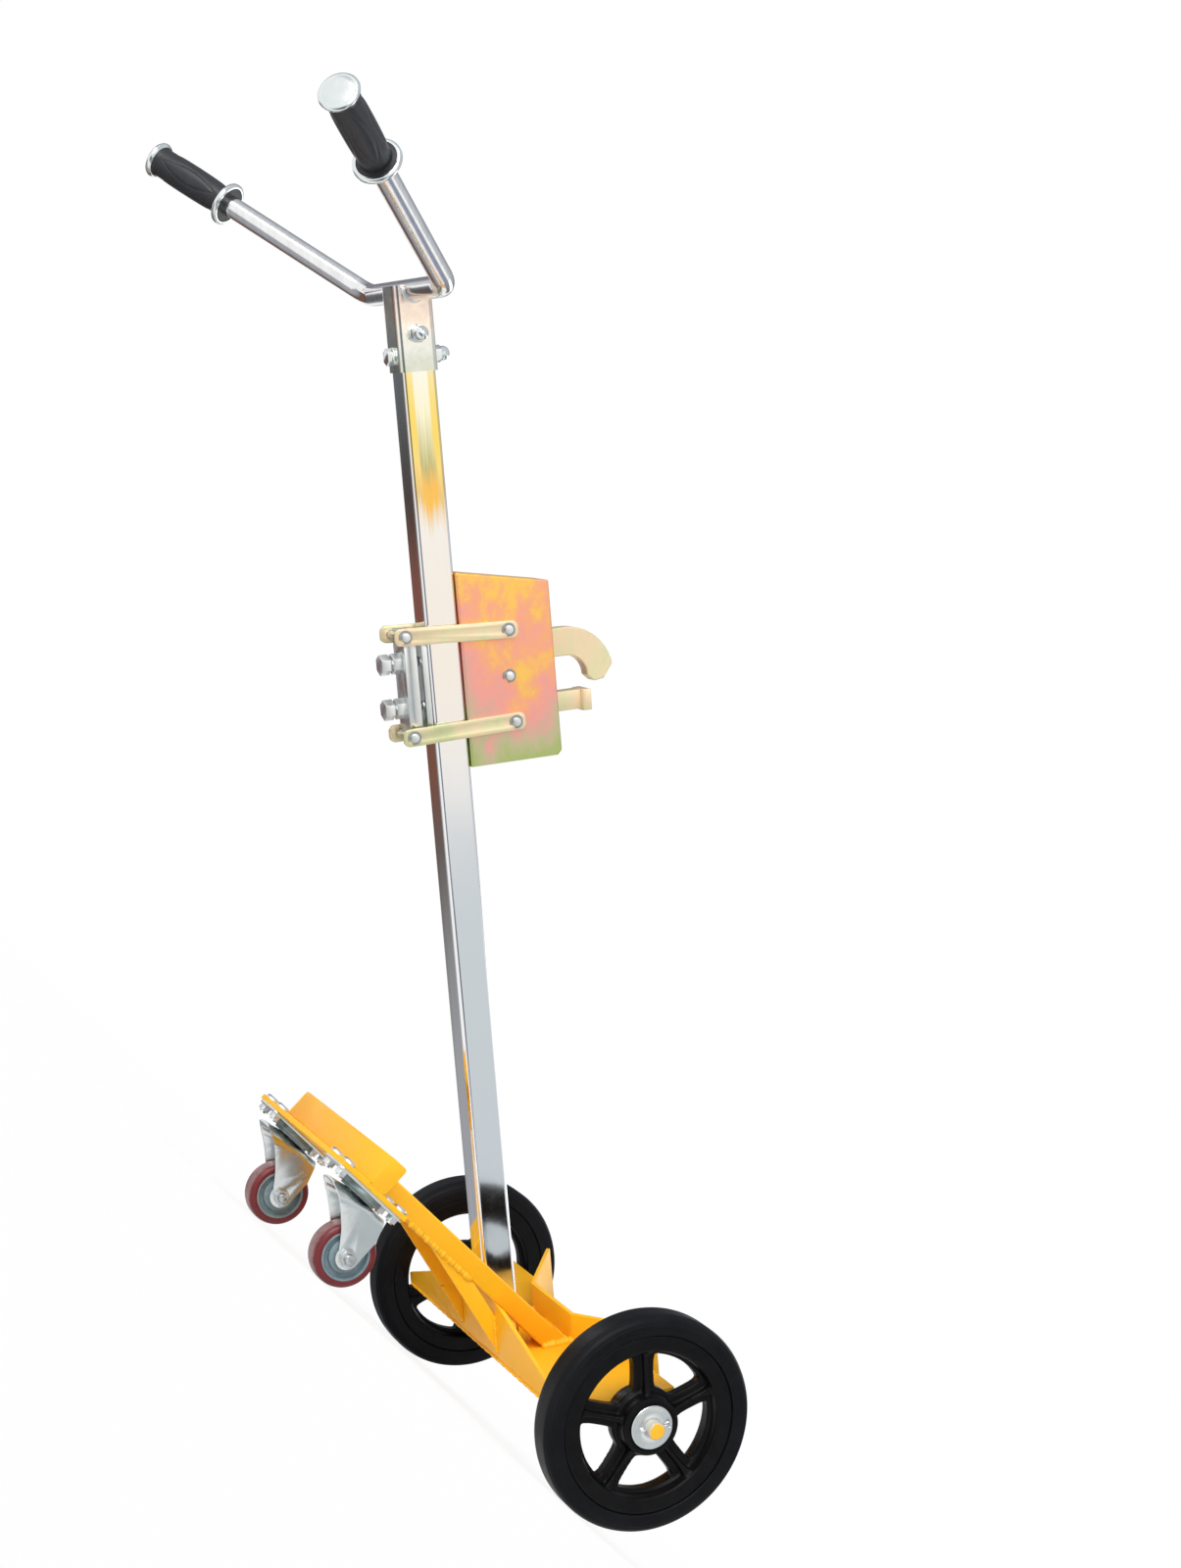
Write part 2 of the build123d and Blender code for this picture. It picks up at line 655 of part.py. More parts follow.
def caster_fork(side):
    """Pressed fork, a sheet bent over in a flared arch whose two legs sweep forward to the axle."""
    hub_z = CASTER_WHEEL_D / 2
    heel = (CASTER_TRAIL - FORK_BOSS_R, hub_z)
    toe = (CASTER_TRAIL + FORK_BOSS_R, hub_z)
    back = [(-FORK_BACK, CROWN_TOP - FORK_BACK_DROP), (-FORK_BACK, CROWN_TOP)]
    front = [(FORK_FRONT, CROWN_TOP), (toe[0], CROWN_TOP - FORK_KNEE_DROP), toe]
    crown = Polyline(*back, *front)
    boss = ThreePointArc(toe, (CASTER_TRAIL, hub_z - FORK_BOSS_R), heel)
    sweep = SagittaArc(heel, back[0], -FORK_SWEEP)
    profile = make_face([*crown.edges(), boss, sweep])
    fork = fork_arch(0) - fork_arch(FORK_T)
    fork &= side_plate(profile, (-FORK_OUTER_Y - FORK_FLARE, FORK_OUTER_Y + FORK_FLARE))
    fork -= rod((0, 0, CROWN_BOTTOM), (0, 0, CROWN_TOP), KINGPIN_D / 2 + RUNNING_FIT)
    ends = across(CASTER_TRAIL, hub_z, FORK_OUTER_Y)
    return caster_place(side) * (fork - rod(*ends, CASTER_AXLE_D / 2 + SEAT_FIT))


def caster_axle(side):
    """Headed pin through the fork's legs, its head to the left."""
    z = CASTER_WHEEL_D / 2
    head_y = FORK_OUTER_Y + CASTER_AXLE_HEAD_H
    tip_y = -FORK_OUTER_Y - CASTER_NUT_H - CASTER_AXLE_TIP_L
    pin = rod((CASTER_TRAIL, tip_y, z), (CASTER_TRAIL, FORK_OUTER_Y, z), CASTER_AXLE_D / 2)
    pin += rod((CASTER_TRAIL, FORK_OUTER_Y, z), (CASTER_TRAIL, head_y, z), CASTER_AXLE_HEAD_D / 2)
    return caster_place(side) * pin


def caster_axle_nut(side):
    """Nut on the right end of the caster's axle."""
    z = CASTER_WHEEL_D / 2
    start = (CASTER_TRAIL, -FORK_OUTER_Y - CASTER_NUT_H, z)
    end = (CASTER_TRAIL, -FORK_OUTER_Y, z)
    nut = hexagon(start, end, CASTER_NUT_FLATS) - rod(start, end, CASTER_AXLE_D / 2 + SEAT_FIT)
    return caster_place(side) * nut


def caster_wheel_place(side):
    """The middle of a caster's wheel, with its axis along Y."""
    return caster_place(side) * Pos(CASTER_TRAIL, 0, CASTER_WHEEL_D / 2) * Rot(90, 0, 0)


def caster_core(side):
    """Caster wheel core, recessed on both faces, with a hub that runs between the fork's legs."""
    core = Cylinder(CASTER_CORE_D / 2, CASTER_TREAD_W)
    recess = Cylinder(CORE_RECESS_D / 2, CORE_RECESS)
    for end in SIDES:
        core -= Pos(0, 0, end * (CASTER_TREAD_W - CORE_RECESS) / 2) * recess
    hub_l = 2 * (FORK_INNER_Y - SIDE_PLAY)
    core += Cylinder(CASTER_HUB_D / 2, hub_l)
    return caster_wheel_place(side) * (core - Cylinder(CASTER_AXLE_D / 2 + RUNNING_FIT, hub_l))


def caster_tread(side):
    """Tread moulded round the caster wheel's core."""
    tread = Cylinder(CASTER_WHEEL_D / 2, CASTER_TREAD_W)
    tread = fillet(tread.edges().filter_by(GeomType.CIRCLE), CASTER_TREAD_R)
    return caster_wheel_place(side) * (tread - Cylinder(CASTER_CORE_D / 2 + SEAT_FIT, CASTER_TREAD_W))


# Post and handle

def square_tube(side, wall, corner, z):
    """Square tube on the post's axis between two heights."""
    section = RectangleRounded(side, side, corner)
    section -= RectangleRounded(side - 2 * wall, side - 2 * wall, corner - wall)
    return Pos(-POST_BEHIND_AXLE, 0, 0) * raised(section, z)


def sleeve_bolt_ends():
    """The head side and nut side of each handle bolt, on the sleeve's faces."""
    half = sleeve_side() / 2
    cross_z = POST_TOP - CROSS_BOLT_DROP
    front_z = POST_TOP - FRONT_BOLT_DROP
    cross = ((-POST_BEHIND_AXLE, half, cross_z), (-POST_BEHIND_AXLE, -half, cross_z))
    front = ((-POST_BEHIND_AXLE - half, 0, front_z), (-POST_BEHIND_AXLE + half, 0, front_z))
    return cross, front


def sleeve_side():
    """The sleeve's outer width."""
    return POST_SIDE + 2 * SLEEVE_GAP + 2 * SLEEVE_WALL


def beyond(start, end, distance):
    """The point past the end of a line by a distance."""
    way = Vector(*end) - Vector(*start)
    return tuple(Vector(*end) + way.normalized() * distance)


def bolt_holes(shape):
    """The shape with the holes of both handle bolts."""
    for head, nut in sleeve_bolt_ends():
        shape -= rod(head, nut, SLEEVE_BOLT_D / 2 + BOLT_HOLE_PLAY)
    return shape


def post():
    """Square post that stands on the floor plate."""
    return MAST * bolt_holes(square_tube(POST_SIDE, POST_WALL, POST_CORNER_R, (FLOOR_TOP, POST_TOP)))


def handle_sleeve():
    """Square sleeve over the post's top, with a saddle for the handle bar."""
    corner = POST_CORNER_R + SLEEVE_GAP + SLEEVE_WALL
    tube = square_tube(sleeve_side(), SLEEVE_WALL, corner, (SLEEVE_BOTTOM, SLEEVE_TOP))
    saddle = rod(*across(-POST_BEHIND_AXLE, BAR_Z, sleeve_side()), BAR_D / 2 + SEAT_FIT)
    return MAST * bolt_holes(tube - saddle)


def sleeve_bolts():
    """The two bolts that hold the handle on the post."""
    bolts = []
    for head, nut in sleeve_bolt_ends():
        under = beyond(nut, head, SLEEVE_WASHER_T)
        top = beyond(nut, head, SLEEVE_WASHER_T + SLEEVE_BOLT_HEAD_H)
        tip = beyond(head, nut, SLEEVE_WASHER_T + ACORN_HEX_H)
        bolts.append(rod(under, tip, SLEEVE_BOLT_D / 2) + hexagon(under, top, SLEEVE_BOLT_FLATS))
    return MAST * Compound(bolts)


def acorn_nuts():
    """Domed nuts on the handle bolts."""
    nuts = []
    for head, nut in sleeve_bolt_ends():
        seat = beyond(head, nut, SLEEVE_WASHER_T)
        shoulder = beyond(head, nut, SLEEVE_WASHER_T + ACORN_HEX_H)
        crown = beyond(head, nut, SLEEVE_WASHER_T + ACORN_HEX_H + ACORN_NECK_H)
        plane, _ = along(head, crown)
        dome = Plane(origin=crown, z_dir=plane.z_dir) * Sphere(ACORN_DOME_D / 2, arc_size1=0, align=STAND)
        body = hexagon(seat, shoulder, SLEEVE_BOLT_FLATS) - rod(seat, shoulder, SLEEVE_BOLT_D / 2 + SEAT_FIT)
        nuts.append(body + rod(shoulder, crown, ACORN_DOME_D / 2) + dome)
    return MAST * Compound(nuts)


def sleeve_washers():
    """Washers under the handle bolts' heads and nuts."""
    washers = []
    for head, nut in sleeve_bolt_ends():
        for far, near in ((nut, head), (head, nut)):
            end = beyond(far, near, SLEEVE_WASHER_T)
            washers.append(ring(near, end, SLEEVE_WASHER_D / 2, SLEEVE_BOLT_D / 2 + SEAT_FIT))
    return MAST * Compound(washers)


def arm_point(side, distance):
    """A point on the axis of a handle arm, from the bar's corner, in the mast frame."""
    arm = Vector(-ARM_BACK, side * ARM_OUT, ARM_UP).normalized() * distance
    return tuple(Vector(-POST_BEHIND_AXLE, side * BAR_CORNER_Y, BAR_Z) + arm)


def arm_length():
    """Length of an arm from the bar's corner to the grip's end."""
    return Vector(ARM_BACK, ARM_OUT, ARM_UP).length


def handle_bar():
    """Bent tube: a cross bar in the sleeve's saddle and two arms up to the grips."""
    tip = arm_length() - GRIP_CAP_L
    corners = [(-POST_BEHIND_AXLE, side * BAR_CORNER_Y, BAR_Z) for side in SIDES]
    path = FilletPolyline(arm_point(LEFT, tip), *corners, arm_point(RIGHT, tip), radius=BAR_BEND_R)
    section = Circle(BAR_D / 2) - Circle(BAR_D / 2 - BAR_WALL)
    return MAST * sweep(Plane(origin=path @ 0, z_dir=path % 0) * section, path=path)


def grip_start():
    """Distance along an arm to the inner face of the grip's flange."""
    return arm_length() - GRIP_CAP_L - GRIP_L - GRIP_FLANGE_L


def grip(side):
    """Rubber grip with a flange at its inner end."""
    start = arm_point(side, grip_start())
    flange_end = arm_point(side, grip_start() + GRIP_FLANGE_L)
    end = arm_point(side, arm_length() - GRIP_CAP_L)
    body = rod(start, end, GRIP_D / 2) + rod(start, flange_end, GRIP_FLANGE_D / 2)
    return MAST * (body - rod(start, end, BAR_D / 2 + SEAT_FIT))


def grip_rings():
    """Chromed rings round the grips' flanges."""
    rings = []
    for side in SIDES:
        start = arm_point(side, grip_start())
        end = arm_point(side, grip_start() + GRIP_FLANGE_L)
        band = rod(start, end, GRIP_RING_D / 2)
        band = fillet(band.edges().filter_by(GeomType.CIRCLE), GRIP_RING_ROUND)
        rings.append(band - rod(start, end, GRIP_FLANGE_D / 2 + SEAT_FIT))
    return MAST * Compound(rings)


def grip_caps():
    """Chromed caps on the ends of the grips."""
    caps = []
    for side in SIDES:
        cap = rod(arm_point(side, arm_length() - GRIP_CAP_L), arm_point(side, arm_length()), GRIP_CAP_D / 2)
        caps.append(fillet(cap.edges().filter_by(GeomType.CIRCLE), GRIP_CAP_ROUND))
    return MAST * Compound(caps)


# Rim gripper

def gripper_box():
    """Folded sheet box in front of the post, open below, slotted in front for the beak and the chin."""
    half = BOX_W / 2
    back_top = BOX_BOTTOM + BOX_BACK_H
    front_top = BOX_BOTTOM + BOX_FRONT_H
    shape = outline(
        (BOX_BACK, BOX_BOTTOM),
        (BOX_FRONT - BOX_CHAMFER, BOX_BOTTOM),
        (BOX_FRONT, BOX_BOTTOM + BOX_CHAMFER),
        (BOX_FRONT, front_top),
        (BOX_BACK, back_top),
    )
    box = side_plate(shape, (-half, half))
    under = box.faces().sort_by(Axis.Z)[0].edges()
    rounded = [edge for edge in box.edges() if edge not in under]
    box = fillet(rounded, BOX_EDGE_R)
    space = outline(
        (BOX_BACK + BOX_SHEET, BOX_BOTTOM),
        (BOX_FRONT - BOX_SHEET, BOX_BOTTOM),
        (BOX_FRONT - BOX_SHEET, front_top - BOX_SHEET),
        (BOX_BACK + BOX_SHEET, back_top - BOX_SHEET),
    )
    box -= side_plate(space, (BOX_SHEET - half, half - BOX_SHEET))
    lift = radians(BEAK_LIFT)
    raised_top = (SHANK_TOP - BEAK_PIN_Z) / cos(lift) + (BOX_FRONT - BEAK_PIN_X) * tan(lift)
    slot_top = BEAK_PIN_Z + raised_top + SLOT_MARGIN
    wall_x = (BOX_FRONT - BOX_SHEET, BOX_FRONT)
    slot_half = BEAK_T / 2 + SLOT_MARGIN
    box -= between(wall_x, (-slot_half, slot_half), (SHANK_BOTTOM - SIDE_PLAY, slot_top))
    chin_half = CHIN_W / 2 + CHIN_HOLE_PLAY
    chin_z = (CHIN_BOTTOM - CHIN_HOLE_PLAY, CHIN_BOTTOM + CHIN_H + CHIN_HOLE_PLAY)
    box -= between(wall_x, (-chin_half, chin_half), chin_z)
    for x, z in (UPPER_FRONT_PIN, LOWER_FRONT_PIN, (BEAK_PIN_X, BEAK_PIN_Z)):
        box -= rod(*across(x, z, half), PIN_D / 2 + SEAT_FIT)
    return MAST * box


def hook_point(radius, z):
    """The point on the front of a circle round the hook's centre at a height."""
    return HOOK_X + sqrt(radius**2 - (z - HOOK_Z) ** 2), z


def hook_arc(start, radius, end):
    """An arc of the hook, over its top corner."""
    corner = HOOK_Z + radius / sqrt(2)
    return ThreePointArc(start, hook_point(radius, corner), end)


def beak():
    """Hook that hangs on its pin and drops over a drum's rim."""
    boss = Pos(BEAK_PIN_X, BEAK_PIN_Z) * Circle(BEAK_BOSS_R)
    neck_x = BOX_FRONT - BEAK_BOSS_R
    tail = make_hull([Line((neck_x, SHANK_BOTTOM), (neck_x, SHANK_TOP)), *boss.edges()])
    tip_z = HOOK_Z - TIP_DROP
    inside = hook_point(HOOK_INNER_R, tip_z + TIP_BEVEL)
    heel = (HOOK_X + HOOK_INNER_R + TIP_BEVEL, tip_z)
    toe = (heel[0] + TIP_FLAT, tip_z + TIP_FLAT_RISE)
    outside = hook_point(HOOK_OUTER_R, HOOK_Z + TIP_DROP)
    top = (HOOK_X, SHANK_TOP)
    under = (HOOK_X, SHANK_BOTTOM)
    edges = [
        Line((neck_x, SHANK_TOP), top),
        hook_arc(top, HOOK_OUTER_R, outside),
        Line(outside, toe),
        Line(toe, heel),
        Line(heel, inside),
        hook_arc(inside, HOOK_INNER_R, under),
        Line(under, (neck_x, SHANK_BOTTOM)),
        Line((neck_x, SHANK_BOTTOM), (neck_x, SHANK_TOP)),
    ]
    profile = tail + make_face(edges)
    profile = fillet(profile.vertices().filter_by(lambda v: abs(v.X - neck_x) < SIDE_PLAY), NECK_R)
    profile = fillet(profile.vertices().filter_by(lambda v: v.X > HOOK_X + SIDE_PLAY), TIP_R)
    plate = side_plate(profile, (-BEAK_T / 2, BEAK_T / 2))
    cheeks = plate.faces().filter_by(Axis.Y)
    plate = fillet(cheeks.edges(), BEAK_EDGE_R)
    return MAST * (plate - rod(*across(BEAK_PIN_X, BEAK_PIN_Z, BEAK_T), PIN_D / 2 + RUNNING_FIT))


def beak_spacers():
    """Sleeves on the beak's pin that keep it in the middle of the box."""
    inner = BEAK_T / 2 + SIDE_PLAY
    outer = BOX_W / 2 - BOX_SHEET
    sleeves = []
    for side in SIDES:
        ends = ((BEAK_PIN_X, side * inner, BEAK_PIN_Z), (BEAK_PIN_X, side * outer, BEAK_PIN_Z))
        sleeves.append(ring(*ends, SPACER_D / 2, PIN_D / 2 + SEAT_FIT))
    return MAST * Compound(sleeves)


def chin_bar():
    """Bar under the beak, its wide root inside the box and its neck through the front wall."""
    z = (CHIN_BOTTOM, CHIN_BOTTOM + CHIN_H)
    inside = BOX_FRONT - BOX_SHEET
    half = BOX_W / 2 - BOX_SHEET
    root = between((inside - CHIN_ROOT_L, inside), (-half, half), z)
    neck = between((inside, BOX_FRONT + CHIN_REACH), (-CHIN_W / 2, CHIN_W / 2), z)
    return MAST * (root + neck)


def chin_pad():
    """Block on the end of the chin bar that bears on the load."""
    x = (BOX_FRONT + CHIN_REACH, BOX_FRONT + CHIN_REACH + CHIN_PAD_T)
    z = (CHIN_BOTTOM - CHIN_PAD_OVERHANG, CHIN_BOTTOM + CHIN_H)
    pad = between(x, (-CHIN_PAD_W / 2, CHIN_PAD_W / 2), z)
    return MAST * fillet(pad.edges().filter_by(Axis.Y).group_by(Axis.X)[-1], BEAK_EDGE_R)


def strap_pair(front, rear):
    """The left and right straps between a front pin and a rear pin."""
    way = Vector(front[0] - rear[0], front[1] - rear[1])
    length = way.length + 2 * STRAP_END_L
    middle = ((front[0] + rear[0]) / 2, (front[1] + rear[1]) / 2)
    tilt = degrees(atan2(way.Y, way.X))
    face = Pos(*middle) * Rot(0, 0, tilt) * RectangleRounded(length, STRAP_W, STRAP_CORNER_R)
    for x, z in (front, rear):
        face -= Pos(x, z) * Circle(PIN_D / 2 + SEAT_FIT)
    half = BOX_W / 2
    left = side_plate(face, (half, STRAP_OUTER_Y))
    right = side_plate(face, (-STRAP_OUTER_Y, -half))
    return MAST * Compound([left, right])


def grooved_pin(x, z, shoulder_y):
    """Pin across the gripper with a groove for a clip just outside a shoulder on each side."""
    end_y = shoulder_y + CLIP_T + PIN_TIP_L
    pin = rod(*across(x, z, end_y), PIN_D / 2)
    for side in SIDES:
        start = (x, side * shoulder_y, z)
        end = (x, side * (shoulder_y + CLIP_T), z)
        pin -= ring(start, end, PIN_D, PIN_D / 2 - CLIP_GROOVE)
    return pin


def link_pins():
    """The four pins that join the straps to the box and hold the clamp block."""
    return MAST * Compound([grooved_pin(x, z, STRAP_OUTER_Y) for x, z in LINK_PINS])


def beak_pin():
    """The beak's pivot pin."""
    return MAST * grooved_pin(BEAK_PIN_X, BEAK_PIN_Z, BOX_W / 2)


def pin_clips():
    """Open spring clips in the pins' grooves."""
    places = [(x, z, STRAP_OUTER_Y) for x, z in LINK_PINS]
    places.append((BEAK_PIN_X, BEAK_PIN_Z, BOX_W / 2))
    face = Circle(CLIP_D / 2) - Circle(PIN_D / 2 - CLIP_GROOVE + SEAT_FIT)
    face -= Rot(0, 0, CLIP_TURN) * Pos(-CLIP_D / 2, 0) * Rectangle(CLIP_D, CLIP_MOUTH_W)
    clips = []
    for x, z, shoulder_y in places:
        clips.append(side_plate(Pos(x, z) * face, (shoulder_y, shoulder_y + CLIP_T)))
        clips.append(side_plate(Pos(x, z) * face, (-shoulder_y - CLIP_T, -shoulder_y)))
    return MAST * Compound(clips)


def screw_heights():
    """Heights of the two clamp screws along the post."""
    return BEAK_PIN_Z + UPPER_SCREW_RISE, BEAK_PIN_Z - LOWER_SCREW_DROP


def clamp_block():
    """Block behind the post, held from behind by the rear pins, tapped for the clamp screws."""
    z = (LOWER_REAR_PIN[1] - BLOCK_END, UPPER_REAR_PIN[1] + BLOCK_END)
    block = between((BLOCK_BACK, BLOCK_FRONT), (-BLOCK_W / 2, BLOCK_W / 2), z)
    for x, pin_z in (UPPER_REAR_PIN, LOWER_REAR_PIN):
        block -= rod(*across(x, pin_z, BLOCK_W), PIN_D / 2 + SEAT_FIT)
    for screw_z in screw_heights():
        block -= rod((BLOCK_BACK, 0, screw_z), (BLOCK_FRONT, 0, screw_z), SCREW_D / 2 + RUNNING_FIT)
    return MAST * block


def pressure_plate():
    """Plate that the screws press on the back of the post, with a socket for each screw's tip."""
    upper, lower = screw_heights()
    middle = (upper + lower) / 2
    height = (middle - PAD_H / 2, middle + PAD_H / 2)
    plate = between((PAD_BACK, PAD_FRONT), (-BLOCK_W / 2, BLOCK_W / 2), height)
    for z in (upper, lower):
        socket_x = PAD_BACK + SCREW_TIP_L + SIDE_PLAY
        plate -= rod((PAD_BACK, 0, z), (socket_x, 0, z), SCREW_TIP_D / 2 + RUNNING_FIT)
    return MAST * plate


def clamp_screw(z):
    """Hexagon-headed screw with a plain tip in the pressure plate's socket."""
    shoulder = PAD_BACK - SIDE_PLAY
    neck = BLOCK_BACK - SCREW_NUT_H - SCREW_NECK_L
    screw = rod((neck, 0, z), (shoulder, 0, z), SCREW_D / 2)
    screw += rod((shoulder, 0, z), (shoulder + SCREW_TIP_L, 0, z), SCREW_TIP_D / 2)
    return MAST * (screw + hexagon((neck - SCREW_HEAD_H, 0, z), (neck, 0, z), SCREW_FLATS))


def lock_nuts():
    """Nuts that lock the clamp screws against the block."""
    nuts = []
    for z in screw_heights():
        ends = ((BLOCK_BACK - SCREW_NUT_H, 0, z), (BLOCK_BACK, 0, z))
        nuts.append(hexagon(*ends, SCREW_FLATS) - rod(*ends, SCREW_D / 2 + RUNNING_FIT))
    return MAST * Compound(nuts)


# Every node and its shape
UPPER_SCREW_Z, LOWER_SCREW_Z = screw_heights()
nodes = {
    "floor_plate": floor_plate(),
    "rear_plate": rear_plate(),
    "cradle": cradle(),
    "brace_bars": brace_bars(),
    "caster_beam": caster_beam(),
    "beam_end_caps": beam_end_caps(),
    "caster_plate": caster_plate(),
    "axle": axle(),
    "axle_spacers": axle_spacers(),
    "axle_washers": axle_washers(),
    "split_pins": split_pins(),
    "caster_top_plates": caster_top_plates(),
    "caster_bolts": caster_bolts(),
    "caster_nuts": caster_nuts(),
    "swivel_races": swivel_races(),
    "kingpins": kingpins(),
    "post": post(),
    "handle_sleeve": handle_sleeve(),
    "sleeve_bolts": sleeve_bolts(),
    "acorn_nuts": acorn_nuts(),
    "sleeve_washers": sleeve_washers(),
    "handle_bar": handle_bar(),
    "grip_rings": grip_rings(),
    "grip_caps": grip_caps(),
    "gripper_box": gripper_box(),
    "beak": beak(),
    "beak_pin": beak_pin(),
    "beak_spacers": beak_spacers(),
    "chin_bar": chin_bar(),
    "chin_pad": chin_pad(),
    "upper_straps": strap_pair(UPPER_FRONT_PIN, UPPER_REAR_PIN),
    "lower_straps": strap_pair(LOWER_FRONT_PIN, LOWER_REAR_PIN),
    "link_pins": link_pins(),
    "pin_clips": pin_clips(),
    "clamp_block": clamp_block(),
    "pressure_plate": pressure_plate(),
    "clamp_screw_upper": clamp_screw(UPPER_SCREW_Z),
    "clamp_screw_lower": clamp_screw(LOWER_SCREW_Z),
    "lock_nuts": lock_nuts(),
}
for word, side in (("left", LEFT), ("right", RIGHT)):
    nodes[f"rail_{word}"] = rail(side)
    nodes[f"grip_{word}"] = grip(side)
    nodes[f"wheel_hub_{word}"] = wheel_hub(side)
    nodes[f"tyre_{word}"] = tyre(side)
    nodes[f"wheel_bearings_{word}"] = wheel_bearings(side)
    nodes[f"caster_fork_{word}"] = caster_fork(side)
    nodes[f"caster_axle_{word}"] = caster_axle(side)
    nodes[f"caster_axle_nut_{word}"] = caster_axle_nut(side)
    nodes[f"caster_core_{word}"] = caster_core(side)
    nodes[f"caster_tread_{word}"] = caster_tread(side)

os.makedirs("parts", exist_ok=True)
for name, shape in nodes.items():
    export_step(shape, f"parts/{name}.step")
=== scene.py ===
import json
from math import atan2, cos, exp, pi, radians, sin

import bmesh
import bpy
from mathutils import Matrix, Vector

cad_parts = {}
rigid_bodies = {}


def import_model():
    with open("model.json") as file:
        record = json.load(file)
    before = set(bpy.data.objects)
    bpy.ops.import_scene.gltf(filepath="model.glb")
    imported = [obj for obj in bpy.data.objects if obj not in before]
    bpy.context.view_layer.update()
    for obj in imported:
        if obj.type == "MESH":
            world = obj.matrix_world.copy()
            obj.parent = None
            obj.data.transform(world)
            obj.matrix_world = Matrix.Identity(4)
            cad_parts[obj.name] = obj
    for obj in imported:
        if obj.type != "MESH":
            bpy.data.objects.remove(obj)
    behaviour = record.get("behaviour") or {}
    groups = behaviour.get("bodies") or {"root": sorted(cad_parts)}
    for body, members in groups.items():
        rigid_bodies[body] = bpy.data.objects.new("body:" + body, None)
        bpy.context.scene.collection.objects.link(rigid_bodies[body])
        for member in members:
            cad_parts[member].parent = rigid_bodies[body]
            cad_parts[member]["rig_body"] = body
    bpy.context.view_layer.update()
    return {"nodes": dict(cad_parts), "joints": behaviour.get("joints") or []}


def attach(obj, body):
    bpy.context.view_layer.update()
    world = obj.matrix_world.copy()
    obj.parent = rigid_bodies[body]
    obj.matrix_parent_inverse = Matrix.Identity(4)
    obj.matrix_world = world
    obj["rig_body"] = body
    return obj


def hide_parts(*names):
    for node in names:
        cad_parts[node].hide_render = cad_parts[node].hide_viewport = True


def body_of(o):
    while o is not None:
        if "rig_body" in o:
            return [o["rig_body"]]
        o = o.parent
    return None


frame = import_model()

MM = 0.001
# The truck's sides, with the sign of y.
SIDES = (("left", 1), ("right", -1))


def joint_place(name):
    """Where the frame has a joint, in metres."""
    return Vector(next(joint["pos_m"] for joint in frame["joints"] if joint["name"] == name))


# Places, in metres. The mast frame has its origin on the axle, z up along the post and x across it.
AXLE = Vector((0, 0, joint_place("wheel_left_spin").z))
MAST_LEAN = radians(51.2)
MAST = Matrix.Translation(AXLE) @ Matrix.Rotation(-MAST_LEAN, 4, "Y")
# The photograph shows the truck tipped forward about its axle.
TIPPED = radians(47.2)
PHOTO = Matrix.Translation(AXLE) @ Matrix.Rotation(-TIPPED, 4, "Y") @ Matrix.Translation(-AXLE)
# The post's middle line in the mast frame, in millimetres.
POST_X = -58.5


# Shader helpers

VALUE = "NodeSocketFloat"
VECTOR = "NodeSocketVector"
# The span that holds most of a noise's values.
NOISE_SPAN = (0.3, 0.7)


def add(tree, kind, **values):
    """A new node with its properties set."""
    node = tree.nodes.new(kind)
    for name, value in values.items():
        setattr(node, name, value)
    return node


def join(tree, source, target):
    """A link from a socket, or a plain value set on the target."""
    if isinstance(source, bpy.types.NodeSocket):
        tree.links.new(source, target)
    else:
        target.default_value = source


def group(name, inputs, outputs):
    """An empty node group with its sockets, its start and its end."""
    tree = bpy.data.node_groups.new(name, "ShaderNodeTree")
    for label, kind, value in inputs:
        tree.interface.new_socket(label, in_out="INPUT", socket_type=kind).default_value = value
    for label, kind in outputs:
        tree.interface.new_socket(label, in_out="OUTPUT", socket_type=kind)
    return tree, tree.nodes.new("NodeGroupInput"), tree.nodes.new("NodeGroupOutput")


def place(tree, tree_name, **values):
    """A node group placed in a tree with its own values."""
    node = add(tree, "ShaderNodeGroup", node_tree=bpy.data.node_groups[tree_name])
    for label, value in values.items():
        join(tree, value, node.inputs[label])
    return node


def ramp(tree, value, stops):
    """A colour ramp over a value, from pairs of a position and a colour."""
    node = add(tree, "ShaderNodeValToRGB")
    elements = node.color_ramp.elements
    while len(elements) < len(stops):
        elements.new(0.5)
    for element, (position, colour) in zip(elements, stops):
        element.position = position
        element.color = (*colour, 1)
    join(tree, value, node.inputs["Fac"])
    return node.outputs["Color"]


def span(tree, value, low, high, start=0.0, end=1.0):
    """A value moved from the span between start and end to another one, and kept inside that."""
    node = add(tree, "ShaderNodeMapRange")
    join(tree, value, node.inputs["Value"])
    for label, limit in (("From Min", start), ("From Max", end), ("To Min", low), ("To Max", high)):
        node.inputs[label].default_value = limit
    return node.outputs["Result"]


def blend(tree, factor, first, second):
    """One colour laid over another."""
    node = add(tree, "ShaderNodeMix", data_type="RGBA")
    join(tree, factor, node.inputs["Factor"])
    for label, colour in (("A", first), ("B", second)):
        join(tree, colour if isinstance(colour, bpy.types.NodeSocket) else (*colour, 1), node.inputs[label])
    return node.outputs["Result"]


def noise(tree, vector, scale, detail, rough=0.5, warp=0.0):
    """Noise over a vector."""
    node = add(tree, "ShaderNodeTexNoise")
    values = {"Vector": vector, "Scale": scale, "Detail": detail, "Roughness": rough, "Distortion": warp}
    for label, value in values.items():
        join(tree, value, node.inputs[label])
    return node.outputs[0]


def maths(tree, operation, first, second):
    """Two values worked into one."""
    node = add(tree, "ShaderNodeMath", operation=operation)
    join(tree, first, node.inputs[0])
    join(tree, second, node.inputs[1])
    return node.outputs[0]


